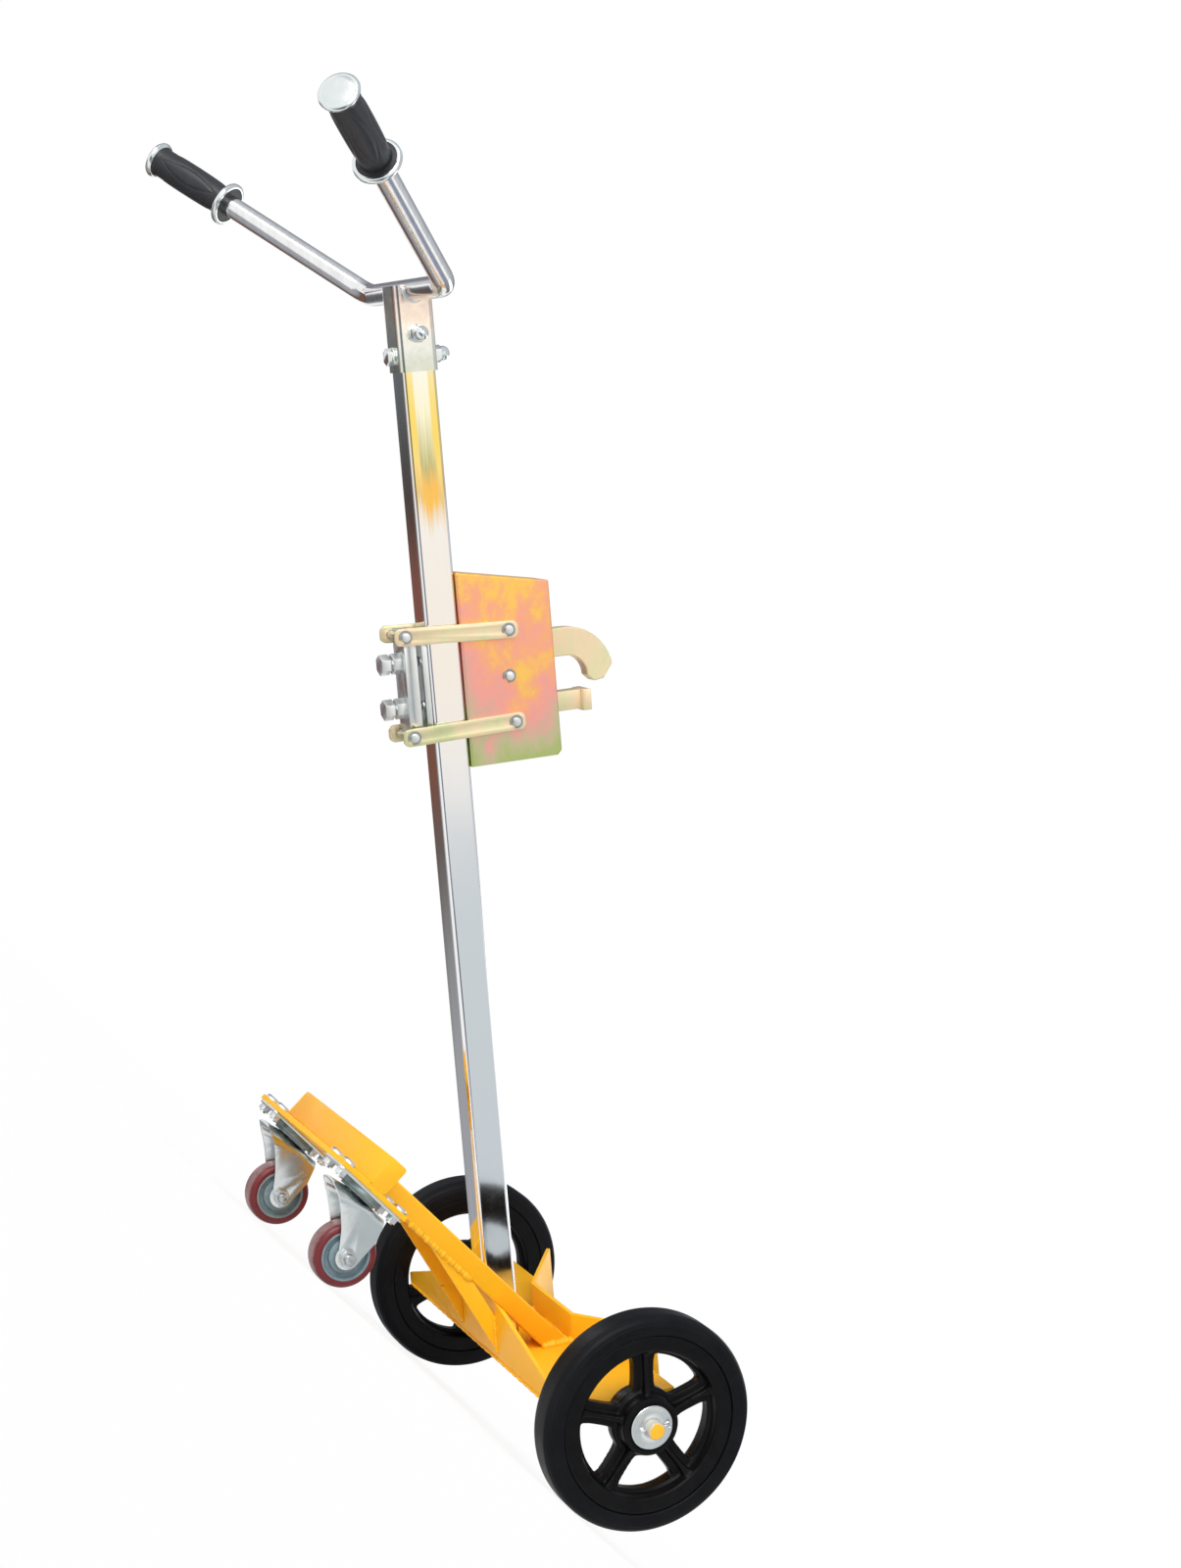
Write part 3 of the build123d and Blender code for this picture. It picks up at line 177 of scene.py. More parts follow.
def distance(tree, value, middle):
    """How far a value lies from a middle, whichever way."""
    node = add(tree, "ShaderNodeMath", operation="ABSOLUTE")
    join(tree, maths(tree, "SUBTRACT", value, middle), node.inputs[0])
    return node.outputs[0]


def bumped(tree, height, depth):
    """The normal of a surface raised by a height, as deep as a distance in metres."""
    node = add(tree, "ShaderNodeBump")
    join(tree, height, node.inputs["Height"])
    join(tree, depth, node.inputs["Distance"])
    return node.outputs["Normal"]


def object_coordinates(tree):
    """A piece's own coordinates, in metres."""
    return add(tree, "ShaderNodeTexCoord").outputs["Object"]


def mast_coordinates(tree, squeeze=(1, 1, 1)):
    """Object coordinates turned into the mast frame and squeezed along its axes."""
    turn = add(tree, "ShaderNodeMapping", vector_type="POINT")
    turn.inputs["Location"].default_value = MAST.inverted().translation
    turn.inputs["Rotation"].default_value = (0, MAST_LEAN, 0)
    join(tree, object_coordinates(tree), turn.inputs["Vector"])
    scale = add(tree, "ShaderNodeMapping", vector_type="POINT")
    scale.inputs["Scale"].default_value = squeeze
    join(tree, turn.outputs["Vector"], scale.inputs["Vector"])
    return scale.outputs["Vector"]


def parts_of(tree, vector):
    """A vector's X, Y and Z, one by one."""
    node = add(tree, "ShaderNodeSeparateXYZ")
    join(tree, vector, node.inputs[0])
    return node.outputs


def from_axis(tree, spot):
    """How far a point lies from the line across the truck through a spot, in metres."""
    flat = add(tree, "ShaderNodeMapping", vector_type="POINT")
    flat.inputs["Location"].default_value = (-spot.x, 0, -spot.z)
    flat.inputs["Scale"].default_value = (1, 0, 1)
    join(tree, object_coordinates(tree), flat.inputs["Vector"])
    reach = add(tree, "ShaderNodeVectorMath", operation="LENGTH")
    join(tree, flat.outputs["Vector"], reach.inputs[0])
    return reach.outputs["Value"]


def make_effects():
    """The node groups that the finishes share."""
    tree, given, out = group("mottle", [("Scale", VALUE, 20)], [("Patch", VALUE)])
    cloud = noise(tree, object_coordinates(tree), given.outputs["Scale"], detail=5, rough=0.6, warp=0.4)
    join(tree, span(tree, cloud, 0, 1, *NOISE_SPAN), out.inputs["Patch"])

    tree, given, out = group("grain", [("Scale", VALUE, 800), ("Depth", VALUE, 0.00003)],
                             [("Normal", VECTOR)])
    height = noise(tree, object_coordinates(tree), given.outputs["Scale"], detail=2)
    join(tree, bumped(tree, height, given.outputs["Depth"]), out.inputs["Normal"])

    tree, given, out = group("mast_streaks", [("Scale", VALUE, 150), ("Depth", VALUE, 0.00001)],
                             [("Streak", VALUE), ("Normal", VECTOR)])
    drawn_out = mast_coordinates(tree, (1, 1, 0.012))
    streak = noise(tree, drawn_out, given.outputs["Scale"], detail=4, rough=0.6)
    join(tree, span(tree, streak, 0, 1, *NOISE_SPAN), out.inputs["Streak"])
    join(tree, bumped(tree, streak, given.outputs["Depth"]), out.inputs["Normal"])

    tree, given, out = group("chips", [("Scale", VALUE, 60), ("Amount", VALUE, 0.3)], [("Chip", VALUE)])
    small = noise(tree, object_coordinates(tree), given.outputs["Scale"], detail=6, rough=0.7, warp=0.6)
    unharmed = maths(tree, "SUBTRACT", 1, given.outputs["Amount"])
    chip = span(tree, maths(tree, "SUBTRACT", small, unharmed), 0, 1, start=0, end=0.04)
    join(tree, chip, out.inputs["Chip"])


def finish(name, colour, rough, normal=None, **plain):
    """A material whose colour, roughness and normal are functions of its tree, with plain values besides."""
    material = bpy.data.materials.new(name)
    material.use_nodes = True
    tree = material.node_tree
    shader = tree.nodes["Principled BSDF"]
    join(tree, colour(tree), shader.inputs["Base Color"])
    join(tree, rough(tree), shader.inputs["Roughness"])
    if normal:
        join(tree, normal(tree), shader.inputs["Normal"])
    for label, value in plain.items():
        shader.inputs[label.replace("_", " ")].default_value = value
    return material


def patch(scale):
    """A mottle's value, as a function of the tree."""
    return lambda tree: place(tree, "mottle", Scale=scale).outputs["Patch"]


def patched(scale, first, second):
    """Two colours in soft patches."""
    return lambda tree: blend(tree, patch(scale)(tree), first, second)


def rough_patch(scale, low, high):
    """Roughness in soft patches."""
    return lambda tree: span(tree, patch(scale)(tree), low, high)


def grain(scale, depth):
    """A fine uneven surface."""
    return lambda tree: place(tree, "grain", Scale=scale, Depth=depth).outputs["Normal"]


def streaks(scale, depth):
    """A surface drawn out along the post."""
    return lambda tree: place(tree, "mast_streaks", Scale=scale, Depth=depth).outputs["Normal"]


# Finishes

PLAIN_CHROME = (0.92, 0.92, 0.93)
# A stop's position is a share of a height, such as that of the painted reflections on the post and sleeve,
# or a value of the patches.
# Painted reflections, gold and straw, down the middle of each side of the post.
MIDDLE_GOLD_REFLECTION = (
    (0, PLAIN_CHROME), (0.08, (0.90, 0.78, 0.60)), (0.17, (1.0, 0.56, 0.08)), (0.29, (0.98, 0.54, 0.08)),
    (0.40, (0.56, 0.50, 0.20)), (0.54, (0.74, 0.70, 0.38)), (0.72, (1.0, 0.94, 0.66)),
    (1, (1.0, 0.98, 0.86)),
)
# Painted reflections, gold and straw, along the edges of each side of the post.
EDGE_GOLD_REFLECTION = (
    (0, PLAIN_CHROME), (0.10, (0.94, 0.84, 0.70)), (0.22, (0.86, 0.58, 0.20)), (0.42, (0.98, 0.74, 0.22)),
    (0.60, (1.0, 0.72, 0.13)), (0.85, (1.0, 0.76, 0.22)), (1, (0.98, 0.82, 0.42)),
)
# Painted reflections on the sleeve, by height: pale green at its foot and pink above.
SLEEVE_REFLECTIONS = (
    (0, (0.70, 0.72, 0.56)), (0.18, (0.78, 0.80, 0.70)), (0.36, (0.90, 0.88, 0.80)),
    (0.52, (1.0, 0.93, 0.80)), (0.64, (0.99, 0.82, 0.66)), (0.80, (0.90, 0.74, 0.63)),
    (0.90, (0.74, 0.62, 0.55)), (1, (0.80, 0.74, 0.72)),
)
ZINC_RISE = (
    (0, (0, 0, 0)), (0.16, (0.30, 0.30, 0.30)), (0.34, (0.62, 0.62, 0.62)), (0.52, (0.86, 0.86, 0.86)),
    (1, (1, 1, 1)),
)
RAINBOW = (
    (0.12, (0.46, 0.54, 0.20)), (0.24, (0.58, 0.54, 0.32)), (0.32, (0.80, 0.44, 0.36)),
    (0.41, (0.94, 0.40, 0.34)), (0.49, (0.97, 0.45, 0.24)), (0.56, (1.0, 0.58, 0.14)),
    (0.64, (1.0, 0.64, 0.14)), (0.74, (0.94, 0.46, 0.26)),
)
STRAW = (
    (0.18, (0.58, 0.62, 0.33)), (0.32, (0.72, 0.68, 0.40)), (0.42, (0.84, 0.66, 0.44)),
    (0.50, (0.80, 0.70, 0.44)), (0.58, (0.68, 0.68, 0.40)), (0.68, (0.86, 0.66, 0.42)),
    (0.78, (0.76, 0.70, 0.42)),
)


def amber_colour(tree):
    """Amber powder coat with dull patches and a few scuffs."""
    coat = patched(7, (0.95, 0.49, 0.014), (0.92, 0.455, 0.011))(tree)
    chip = place(tree, "chips", Scale=45, Amount=0.335).outputs["Chip"]
    return blend(tree, chip, coat, (0.42, 0.18, 0.03))


def axle_colour(tree):
    """Amber paint worn to bare metal round the ends of the axle."""
    painted_to, bare_from, wobble = 0.0084, 0.0092, 0.0012
    bare_metal = (0.52, 0.50, 0.44)
    reach = maths(tree, "ADD", from_axis(tree, AXLE), span(tree, patch(160)(tree), -wobble, wobble))
    return blend(tree, span(tree, reach, 0, 1, painted_to, bare_from), amber_colour(tree), bare_metal)


def tread_colour(tree):
    """Maroon tread, with a painted pale highlight on its shoulders."""
    maroon_to, highlight_from, most_highlight = 0.0362, 0.0374, 0.5
    # The colour of the painted highlight towards the tread's outer edge.
    pale = (0.36, 0.27, 0.27)
    tread = patched(70, (0.120, 0.010, 0.014), (0.170, 0.018, 0.022))(tree)
    uneven = span(tree, patch(90)(tree), -0.0008, 0.0004)
    reach = maths(tree, "ADD", from_axis(tree, joint_place("caster_left_roll")), uneven)
    return blend(tree, span(tree, reach, 0, most_highlight, maroon_to, highlight_from), tread, pale)


def chrome_colour(tree):
    """Chrome drawn in faint streaks along the post."""
    streak = place(tree, "mast_streaks", Scale=160).outputs["Streak"]
    return blend(tree, streak, (0.93, 0.93, 0.94), (0.80, 0.795, 0.79))


def post_colour(tree):
    """The post's chrome, with painted straw and gold reflections in long streaks on its sides below the
    handle.
    """
    gold_reflection_foot, gold_reflection_top, uneven_height = 0.99, 1.18, 0.018
    middle_to, edge_from, uneven_width = 0.008, 0.011, 0.005
    front_to, side_from, most_reflected = 0.018, 0.0195, 0.94
    parts = parts_of(tree, mast_coordinates(tree))
    streak = place(tree, "mast_streaks", Scale=260).outputs["Streak"]
    height = maths(tree, "ADD", parts["Z"], span(tree, streak, -uneven_height, uneven_height))
    rise = span(tree, height, 0, 1, gold_reflection_foot, gold_reflection_top)
    across = maths(tree, "ADD", distance(tree, parts["X"], POST_X * MM),
                   span(tree, streak, -uneven_width, uneven_width))
    # Painted gold and straw reflections, blended from the middle of each side to its edges.
    gold_reflection = blend(tree, span(tree, across, 0, 1, middle_to, edge_from),
                  ramp(tree, rise, MIDDLE_GOLD_REFLECTION), ramp(tree, rise, EDGE_GOLD_REFLECTION))
    on_side = span(tree, distance(tree, parts["Y"], 0), 0, most_reflected, front_to, side_from)
    return blend(tree, on_side, chrome_colour(tree), gold_reflection)


def sleeve_colour(tree):
    """The sleeve's chrome, with painted reflections: pink above and pale green at its foot."""
    sleeve_reflection_foot, sleeve_reflection_top, uneven = 1.165, 1.27, 0.014
    # The painted reflections follow the height along the post.
    height = maths(tree, "ADD", parts_of(tree, mast_coordinates(tree))["Z"],
                   span(tree, patch(70)(tree), -uneven, uneven))
    return ramp(tree, span(tree, height, 0, 1, sleeve_reflection_foot, sleeve_reflection_top), SLEEVE_REFLECTIONS)


def passivate_colour(share, stops):
    """Rainbow patches of yellow zinc, drifting along the post and in from the edge beside it."""
    box_foot, box_top = 0.715, 0.94
    inner, beside_post = -0.012, -0.040
    foot_shift, top_shift, edge_shift = -0.36 * share, 0.08 * share, -0.11 * share

    def colour(tree):
        parts = parts_of(tree, mast_coordinates(tree))
        cloud = noise(tree, mast_coordinates(tree, (1, 1, 0.7)), 16, detail=6, rough=0.62, warp=0.2)
        rise = ramp(tree, span(tree, parts["Z"], 0, 1, box_foot, box_top), ZINC_RISE)
        drift = maths(tree, "ADD", span(tree, rise, foot_shift, top_shift),
                      span(tree, parts["X"], edge_shift, 0, beside_post, inner))
        return ramp(tree, maths(tree, "ADD", cloud, drift), stops)
    return colour


def make_finishes():
    """Every finish of the truck by name."""
    steel = dict(Metallic=1.0)
    dull = dict(Specular_IOR_Level=0.1)
    satin = dict(Specular_IOR_Level=0.3)
    glossy = dict(Specular_IOR_Level=0.4)
    return {
        "amber": finish("amber_powder_coat", amber_colour, rough_patch(30, 0.34, 0.46), **satin),
        "axle": finish("worn_amber", axle_colour, rough_patch(60, 0.3, 0.45), **glossy),
        "post": finish(
            "post_chrome", post_colour, rough_patch(35, 0.06, 0.11), streaks(120, 0.00003), **steel),
        "bar": finish("bar_chrome", chrome_colour, rough_patch(60, 0.12, 0.17), **steel),
        "sleeve": finish("sleeve_chrome", sleeve_colour, rough_patch(80, 0.10, 0.16), **steel),
        "fitting": finish(
            "chrome_fittings", patched(60, (0.82, 0.86, 0.86), (0.74, 0.79, 0.79)),
            rough_patch(90, 0.16, 0.22), **steel),
        "grip": finish(
            "grip_rubber", patched(60, (0.014, 0.015, 0.018), (0.019, 0.020, 0.024)),
            rough_patch(80, 0.36, 0.44), Specular_IOR_Level=0.45),
        "tyre": finish(
            "tyre_rubber", patched(25, (0.0035, 0.0038, 0.005), (0.007, 0.0074, 0.009)),
            rough_patch(40, 0.38, 0.5), **dull),
        "casting": finish(
            "black_enamel", patched(45, (0.003, 0.003, 0.0035), (0.006, 0.006, 0.0065)),
            rough_patch(60, 0.26, 0.4), grain(200, 0.00002), **dull),
        "bright": finish(
            "bright_steel", patched(120, (0.74, 0.75, 0.76), (0.62, 0.63, 0.65)),
            rough_patch(150, 0.24, 0.34), **steel),
        "fork": finish(
            "fork_zinc", patched(35, (0.76, 0.79, 0.79), (0.68, 0.72, 0.72)),
            rough_patch(60, 0.20, 0.28), **steel),
        "zinc": finish(
            "pale_zinc_plate", patched(60, (0.80, 0.82, 0.81), (0.72, 0.75, 0.75)),
            rough_patch(80, 0.28, 0.36), **steel),
        "nut": finish(
            "grey_steel", patched(90, (0.56, 0.58, 0.59), (0.48, 0.50, 0.51)),
            rough_patch(120, 0.22, 0.3), **steel),
        "clip": finish(
            "spring_steel", patched(120, (0.30, 0.31, 0.32), (0.38, 0.39, 0.40)),
            rough_patch(150, 0.3, 0.4), **steel),
        "rainbow": finish(
            "rainbow_zinc", passivate_colour(1, RAINBOW), rough_patch(30, 0.36, 0.46), Metallic=0.9),
        "straw": finish(
            "straw_zinc", passivate_colour(0.6, STRAW), rough_patch(50, 0.34, 0.44), Metallic=0.6, **satin),
        "maroon": finish("maroon_tread", tread_colour, rough_patch(90, 0.3, 0.42), **glossy),
        "core": finish(
            "grey_blue_core", patched(80, (0.15, 0.21, 0.24), (0.21, 0.28, 0.31)),
            rough_patch(100, 0.4, 0.55), **satin),
        "race": finish(
            "dark_race", patched(80, (0.16, 0.20, 0.20), (0.26, 0.31, 0.31)),
            rough_patch(90, 0.36, 0.46), Metallic=0.7),
    }


# Shape helpers

# Angles between faces, in degrees.
SHARP_EDGE = 35
FLAT_EDGE = 1
# Points closer than this, in metres, are one.
MERGE = 1e-6
# Steps round a turned piece.
SMALL_ROUND = 72
MIDDLE_ROUND = 96
TYRE_ROUND = 144
GRIP_ROUND = 200


def keep(name, mesh, body, material, nodes=()):
    """A finished mesh shown as a piece of the truck, riding on a body, in place of its CAD nodes."""
    mesh.materials.clear()
    mesh.materials.append(material)
    piece = bpy.data.objects.new(name, mesh)
    bpy.context.scene.collection.objects.link(piece)
    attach(piece, body)
    if nodes:
        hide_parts(*nodes)
    return piece


def painted(material, *nodes):
    """CAD nodes shown as they are, in a finish."""
    for node in nodes:
        frame["nodes"][node].material_slots[0].material = material


def to_mesh(bm, name, sharp=SHARP_EDGE):
    """A bmesh made a mesh that is smooth but for its sharp edges."""
    bmesh.ops.remove_doubles(bm, verts=bm.verts, dist=MERGE)
    bmesh.ops.recalc_face_normals(bm, faces=bm.faces)
    mesh = bpy.data.meshes.new(name)
    bm.to_mesh(mesh)
    bm.free()
    mesh.shade_smooth()
    mesh.set_sharp_from_angle(angle=radians(sharp))
    return mesh


def turned(profile, place_at, steps=MIDDLE_ROUND, bm=None):
    """A closed outline of (radius, height) in millimetres spun about z, then set in its place."""
    bm = bm or bmesh.new()
    old = set(bm.verts)
    verts = [bm.verts.new((radius * MM, 0, height * MM)) for radius, height in profile]
    edges = [bm.edges.new((a, b)) for a, b in zip(verts, verts[1:] + verts[:1])]
    bmesh.ops.spin(bm, geom=verts + edges, cent=(0, 0, 0), axis=(0, 0, 1), angle=2 * pi, steps=steps,
                   use_merge=True)
    made = [vert for vert in bm.verts if vert not in old]
    bmesh.ops.transform(bm, matrix=place_at, verts=made)
    return bm


def softened(node, width, material, segments=2):
    """A CAD node's copy with its sharp edges rounded, shown in its place."""
    source = frame["nodes"][node]
    bm = bmesh.new()
    bm.from_mesh(source.data)
    bmesh.ops.remove_doubles(bm, verts=bm.verts, dist=MERGE)
    bmesh.ops.dissolve_limit(bm, angle_limit=radians(FLAT_EDGE), verts=bm.verts, edges=bm.edges)
    mesh = bpy.data.meshes.new(node + "_edges")
    bm.to_mesh(mesh)
    bm.free()
    mesh.shade_smooth()
    piece = keep(node + "_edges", mesh, body_of(source)[0], material, [node])
    round_edges = piece.modifiers.new("round_edges", "BEVEL")
    round_edges.width = width * MM
    round_edges.segments = segments
    round_edges.limit_method = "ANGLE"
    round_edges.angle_limit = radians(SHARP_EDGE)
    round_edges.profile = 0.5
    round_edges.harden_normals = True


def add_to(total, bm):
    """One bmesh's faces moved into another."""
    mesh = bpy.data.meshes.new("part")
    bm.to_mesh(mesh)
    bm.free()
    total.from_mesh(mesh)
    bpy.data.meshes.remove(mesh)


def facing(origin, direction):
    """A matrix at a point with z along a direction."""
    turn = Vector(direction).to_track_quat("Z", "Y").to_matrix().to_4x4()
    return Matrix.Translation(origin) @ turn


def melt(bm, name, body, material, voxel, passes, nodes=()):
    """Overlapping lumps run together into one smooth piece."""
    mesh = bpy.data.meshes.new(name)
    bm.to_mesh(mesh)
    bm.free()
    mesh.shade_smooth()
    piece = keep(name, mesh, body, material, nodes)
    fuse = piece.modifiers.new("fuse", "REMESH")
    fuse.mode = "VOXEL"
    fuse.voxel_size = voxel * MM
    fuse.use_smooth_shade = True
    ease = piece.modifiers.new("ease", "SMOOTH")
    ease.factor = 0.5
    ease.iterations = passes


# Handle

# The left arm's foot in the mast frame and the way from there to its end, in millimetres.
BAR_CORNER = (POST_X, 127, 1260)
ARM = (-178.5, 225, 186)
# The grips, in millimetres.
GRIP_L = 111
GRIP_BORE_R = 12.6
GRIP_R = 16.9
COLLAR_L = 9
LIP_L = 4
CAP_L = 9


def arm_frame(side, from_end):
    """A matrix on a handle arm, z towards its end, a distance in millimetres back from the end."""
    corner = Vector((BAR_CORNER[0], side * BAR_CORNER[1], BAR_CORNER[2])) * MM
    arm = Vector((ARM[0], side * ARM[1], ARM[2])) * MM
    spot = corner + arm * (1 - from_end * MM / arm.length)
    return MAST @ facing(spot, arm)


def grip_profile():
    """A grip's outline: a collar, a body that swells in the middle and flares, and a lip."""
    swell, flare, rings = 1.0, 0.6, 150
    body_to = GRIP_L - LIP_L
    profile = [(GRIP_BORE_R, 0), (21.2, 0), (22, 0.8), (22, 6.2), (21.2, 7), (17.4, 7.4), (GRIP_R, COLLAR_L)]
    for k in range(1, rings):
        u = k / rings
        profile.append((GRIP_R + swell * sin(pi * u) + flare * u, COLLAR_L + (body_to - COLLAR_L) * u))
    grip_end = GRIP_L - 0.2
    return profile + [(17.6, body_to), (18.4, GRIP_L - 2.4), (19.0, grip_end), (GRIP_BORE_R, grip_end)]


def panel_height(inside):
    """How far a lens panel stands out, or its groove lies in, so far inside its edge, all in millimetres."""
    panel_rise, steepness, shoulder = 0.5, 1.4, 2.4
    groove_depth, groove_width = 0.45, 1.1
    panel = panel_rise / (1 + exp(-steepness * (inside - shoulder)))
    groove = groove_depth * exp(-(inside / groove_width) ** 2)
    return panel - groove


def grip_mesh(side):
    """A rubber grip with a collar, a lip and four raised lens panels."""
    middle, half_length, skin_from = 0.058, 0.041, 0.0155
    half_angle, turn, quarter = radians(33), radians(20), pi / 2
    bm = turned(grip_profile(), Matrix.Identity(4), GRIP_ROUND)
    for vert in bm.verts:
        radius = vert.co.xy.length
        reach = 1 - ((vert.co.z - middle) / half_length) ** 2
        if reach <= 0 or radius < skin_from:
            continue
        off = abs((atan2(vert.co.y, vert.co.x) + turn) % quarter - quarter / 2)
        inside = (half_angle * reach - off) * radius / MM
        vert.co.xy *= (radius + panel_height(inside) * MM) / radius
    bmesh.ops.transform(bm, matrix=arm_frame(side, GRIP_L + CAP_L), verts=bm.verts)
    return to_mesh(bm, "grip")


def make_handle(finishes):
    """Grips, caps, rings and the chromed handle."""
    cap = [(0.01, 0), (18.6, 0), (19.4, 0.7), (21.4, 2.4), (22, 4.2), (21.8, 5.6), (20.8, 7.0), (18.2, 7.9),
           (17.6, 7.6), (16.9, 7.9), (11, 8.7), (5, 8.95), (0.01, CAP_L)]
    caps = bmesh.new()
    for word, side in SIDES:
        keep(f"grip_{word}_moulded", grip_mesh(side), "frame", finishes["grip"],
             [f"grip_{word}"])
        turned(cap, arm_frame(side, CAP_L), SMALL_ROUND, caps)
    keep("grip_caps_domed", to_mesh(caps, "caps", sharp=50), "frame", finishes["fitting"],
         ["grip_caps"])
    painted(finishes["post"], "post")
    painted(finishes["bar"], "handle_bar")
    painted(finishes["sleeve"], "handle_sleeve")
    painted(finishes["fitting"], "grip_rings")
    for node, width in (("sleeve_bolts", 0.9), ("sleeve_washers", 0.4), ("acorn_nuts", 0.8)):
        softened(node, width, finishes["fitting"])


# Wheels

SPOKES = 5
# The turn of each wheel's first spoke, in degrees.
FIRST_SPOKE = {"left": 42.8, "right": 137.2}


def mirrored(half):
    """An outline and its reflection in height zero."""
    return half + [(radius, -height) for radius, height in reversed(half)]


def blade(start, end, half_width, half_depth, spot, total):
    """A bar along x between two radii, in millimetres, whose half width and half depth change along it."""
    bm = bmesh.new()
    bmesh.ops.create_cube(bm, size=2)
    long_edges = [edge for edge in bm.edges if abs(edge.verts[0].co.x - edge.verts[1].co.x) > 1]
    bmesh.ops.subdivide_edges(bm, edges=long_edges, cuts=12, use_grid_fill=True)
    for vert in bm.verts:
        u = (vert.co.x + 1) / 2
        along = start + (end - start) * u
        vert.co = Vector((along, vert.co.y * half_width(u), vert.co.z * half_depth(u))) * MM
    bmesh.ops.transform(bm, matrix=spot, verts=bm.verts)
    add_to(total, bm)


def flared(middle, more):
    """A half width that grows from a spoke's middle to both its ends."""
    return lambda u: middle + more * (2 * u - 1) ** 4


def rib_depth(u):
    """A rib's half depth, most at the boss and rising again at the rim."""
    least, more_at_boss, more_at_rim = 13, 8, 4
    return least + more_at_boss * (1 - u) ** 3 + more_at_rim * u ** 5


def make_hub(word, side, finishes):
    """A cast hub: a dished rim, a boss and five flared spokes, each with a rib."""
    spot = Matrix.Translation(joint_place(f"wheel_{word}_spin")) @ Matrix.Rotation(-side * pi / 2, 4, "X")
    rim = mirrored([(103, 19.6), (102.2, 20.5), (87, 20.5), (85, 19.9), (84, 18.4), (82.6, 11), (80.8, 8.2),
                    (78, 7.4)])
    boss = mirrored([(25, 23.4), (31.6, 23.4), (33, 22), (33.4, 14), (35, 9), (39, 7), (40, 6)])
    spoke_from, spoke_to, spoke_half_depth = 30, 83, 7.4
    rib_from, rib_to = 28, 84.5
    casting = turned(rim, spot)
    turned(boss, spot, SMALL_ROUND, casting)
    for k in range(SPOKES):
        turn = spot @ Matrix.Rotation(radians(FIRST_SPOKE[word] + k * 360 / SPOKES), 4, "Z")
        blade(spoke_from, spoke_to, flared(12, 7), lambda u: spoke_half_depth, turn, casting)
        blade(rib_from, rib_to, flared(2.5, 3.2), rib_depth, turn, casting)
    melt(casting, f"wheel_hub_{word}_cast", f"wheel_{word}", finishes["casting"],
         voxel=1.3, passes=4, nodes=[f"wheel_hub_{word}"])
    collar = mirrored([(23.6, 24.6), (24, 25), (26.2, 25), (26.6, 24.3), (27.4, 24.3), (27.8, 25),
                       (31.4, 25), (32.8, 24.4), (33.5, 23), (33.6, 18)])
    keep(f"wheel_boss_{word}", to_mesh(turned(collar, spot, SMALL_ROUND), "collar"), f"wheel_{word}",
         finishes["casting"])


def make_wheels(finishes):
    """Tyres with moulded rings, cast hubs, bearings, washers, the axle and its pins."""
    tyre = mirrored([
        (103.05, 19.8), (103.2, 21.0), (104.0, 21.7), (105.6, 22.0), (108.6, 22.2), (112, 22.45),
        (115.0, 22.4), (116.2, 22.2), (116.9, 21.8), (117.3, 21.1), (118.2, 21.0), (119.8, 20.4),
        (121.6, 19.1), (122.9, 17.6), (123.7, 16.2), (123.9, 15.4), (123.5, 15.0), (124.2, 14.4),
        (124.8, 12.9), (125, 10.5), (125, 4),
    ])
    bearing = [(10.05, 18.2), (10.05, 25), (13.2, 25), (13.7, 24.5), (14.0, 24.0), (15.2, 24.0),
               (15.6, 24.3), (19.2, 24.3), (19.6, 24.0), (20.2, 24.0), (20.6, 24.6), (21.0, 25), (23.2, 25),
               (23.5, 24.7), (23.5, 11), (10.05, 11)]
    washer = [(10.1, 25.6), (24.3, 25.3), (25, 25.8), (25, 26.8), (24.4, 27.4), (23.2, 27.5), (21.6, 27.0),
              (15.4, 26.9), (13.2, 27.9), (11.6, 28.3), (10.1, 28.3)]
    washers = bmesh.new()
    for word, side in SIDES:
        spot = facing(joint_place(f"wheel_{word}_spin"), (0, side, 0))
        keep(f"tyre_{word}_moulded", to_mesh(turned(tyre, spot, TYRE_ROUND), "tyre", sharp=28),
             f"wheel_{word}", finishes["tyre"], [f"tyre_{word}"])
        make_hub(word, side, finishes)
        bearings = turned(bearing, spot, SMALL_ROUND)
        turned([(radius, -height) for radius, height in bearing], spot, SMALL_ROUND, bearings)
        keep(f"wheel_bearings_{word}_turned", to_mesh(bearings, "bearings"), f"wheel_{word}",
             finishes["bright"], [f"wheel_bearings_{word}"])
        turned(washer, spot, SMALL_ROUND, washers)
    keep("axle_washers_dished", to_mesh(washers, "washers"), "frame", finishes["zinc"],
         ["axle_washers"])
    softened("axle", 0.4, finishes["axle"])
    painted(finishes["bright"], "axle_spacers", "split_pins")


# Casters

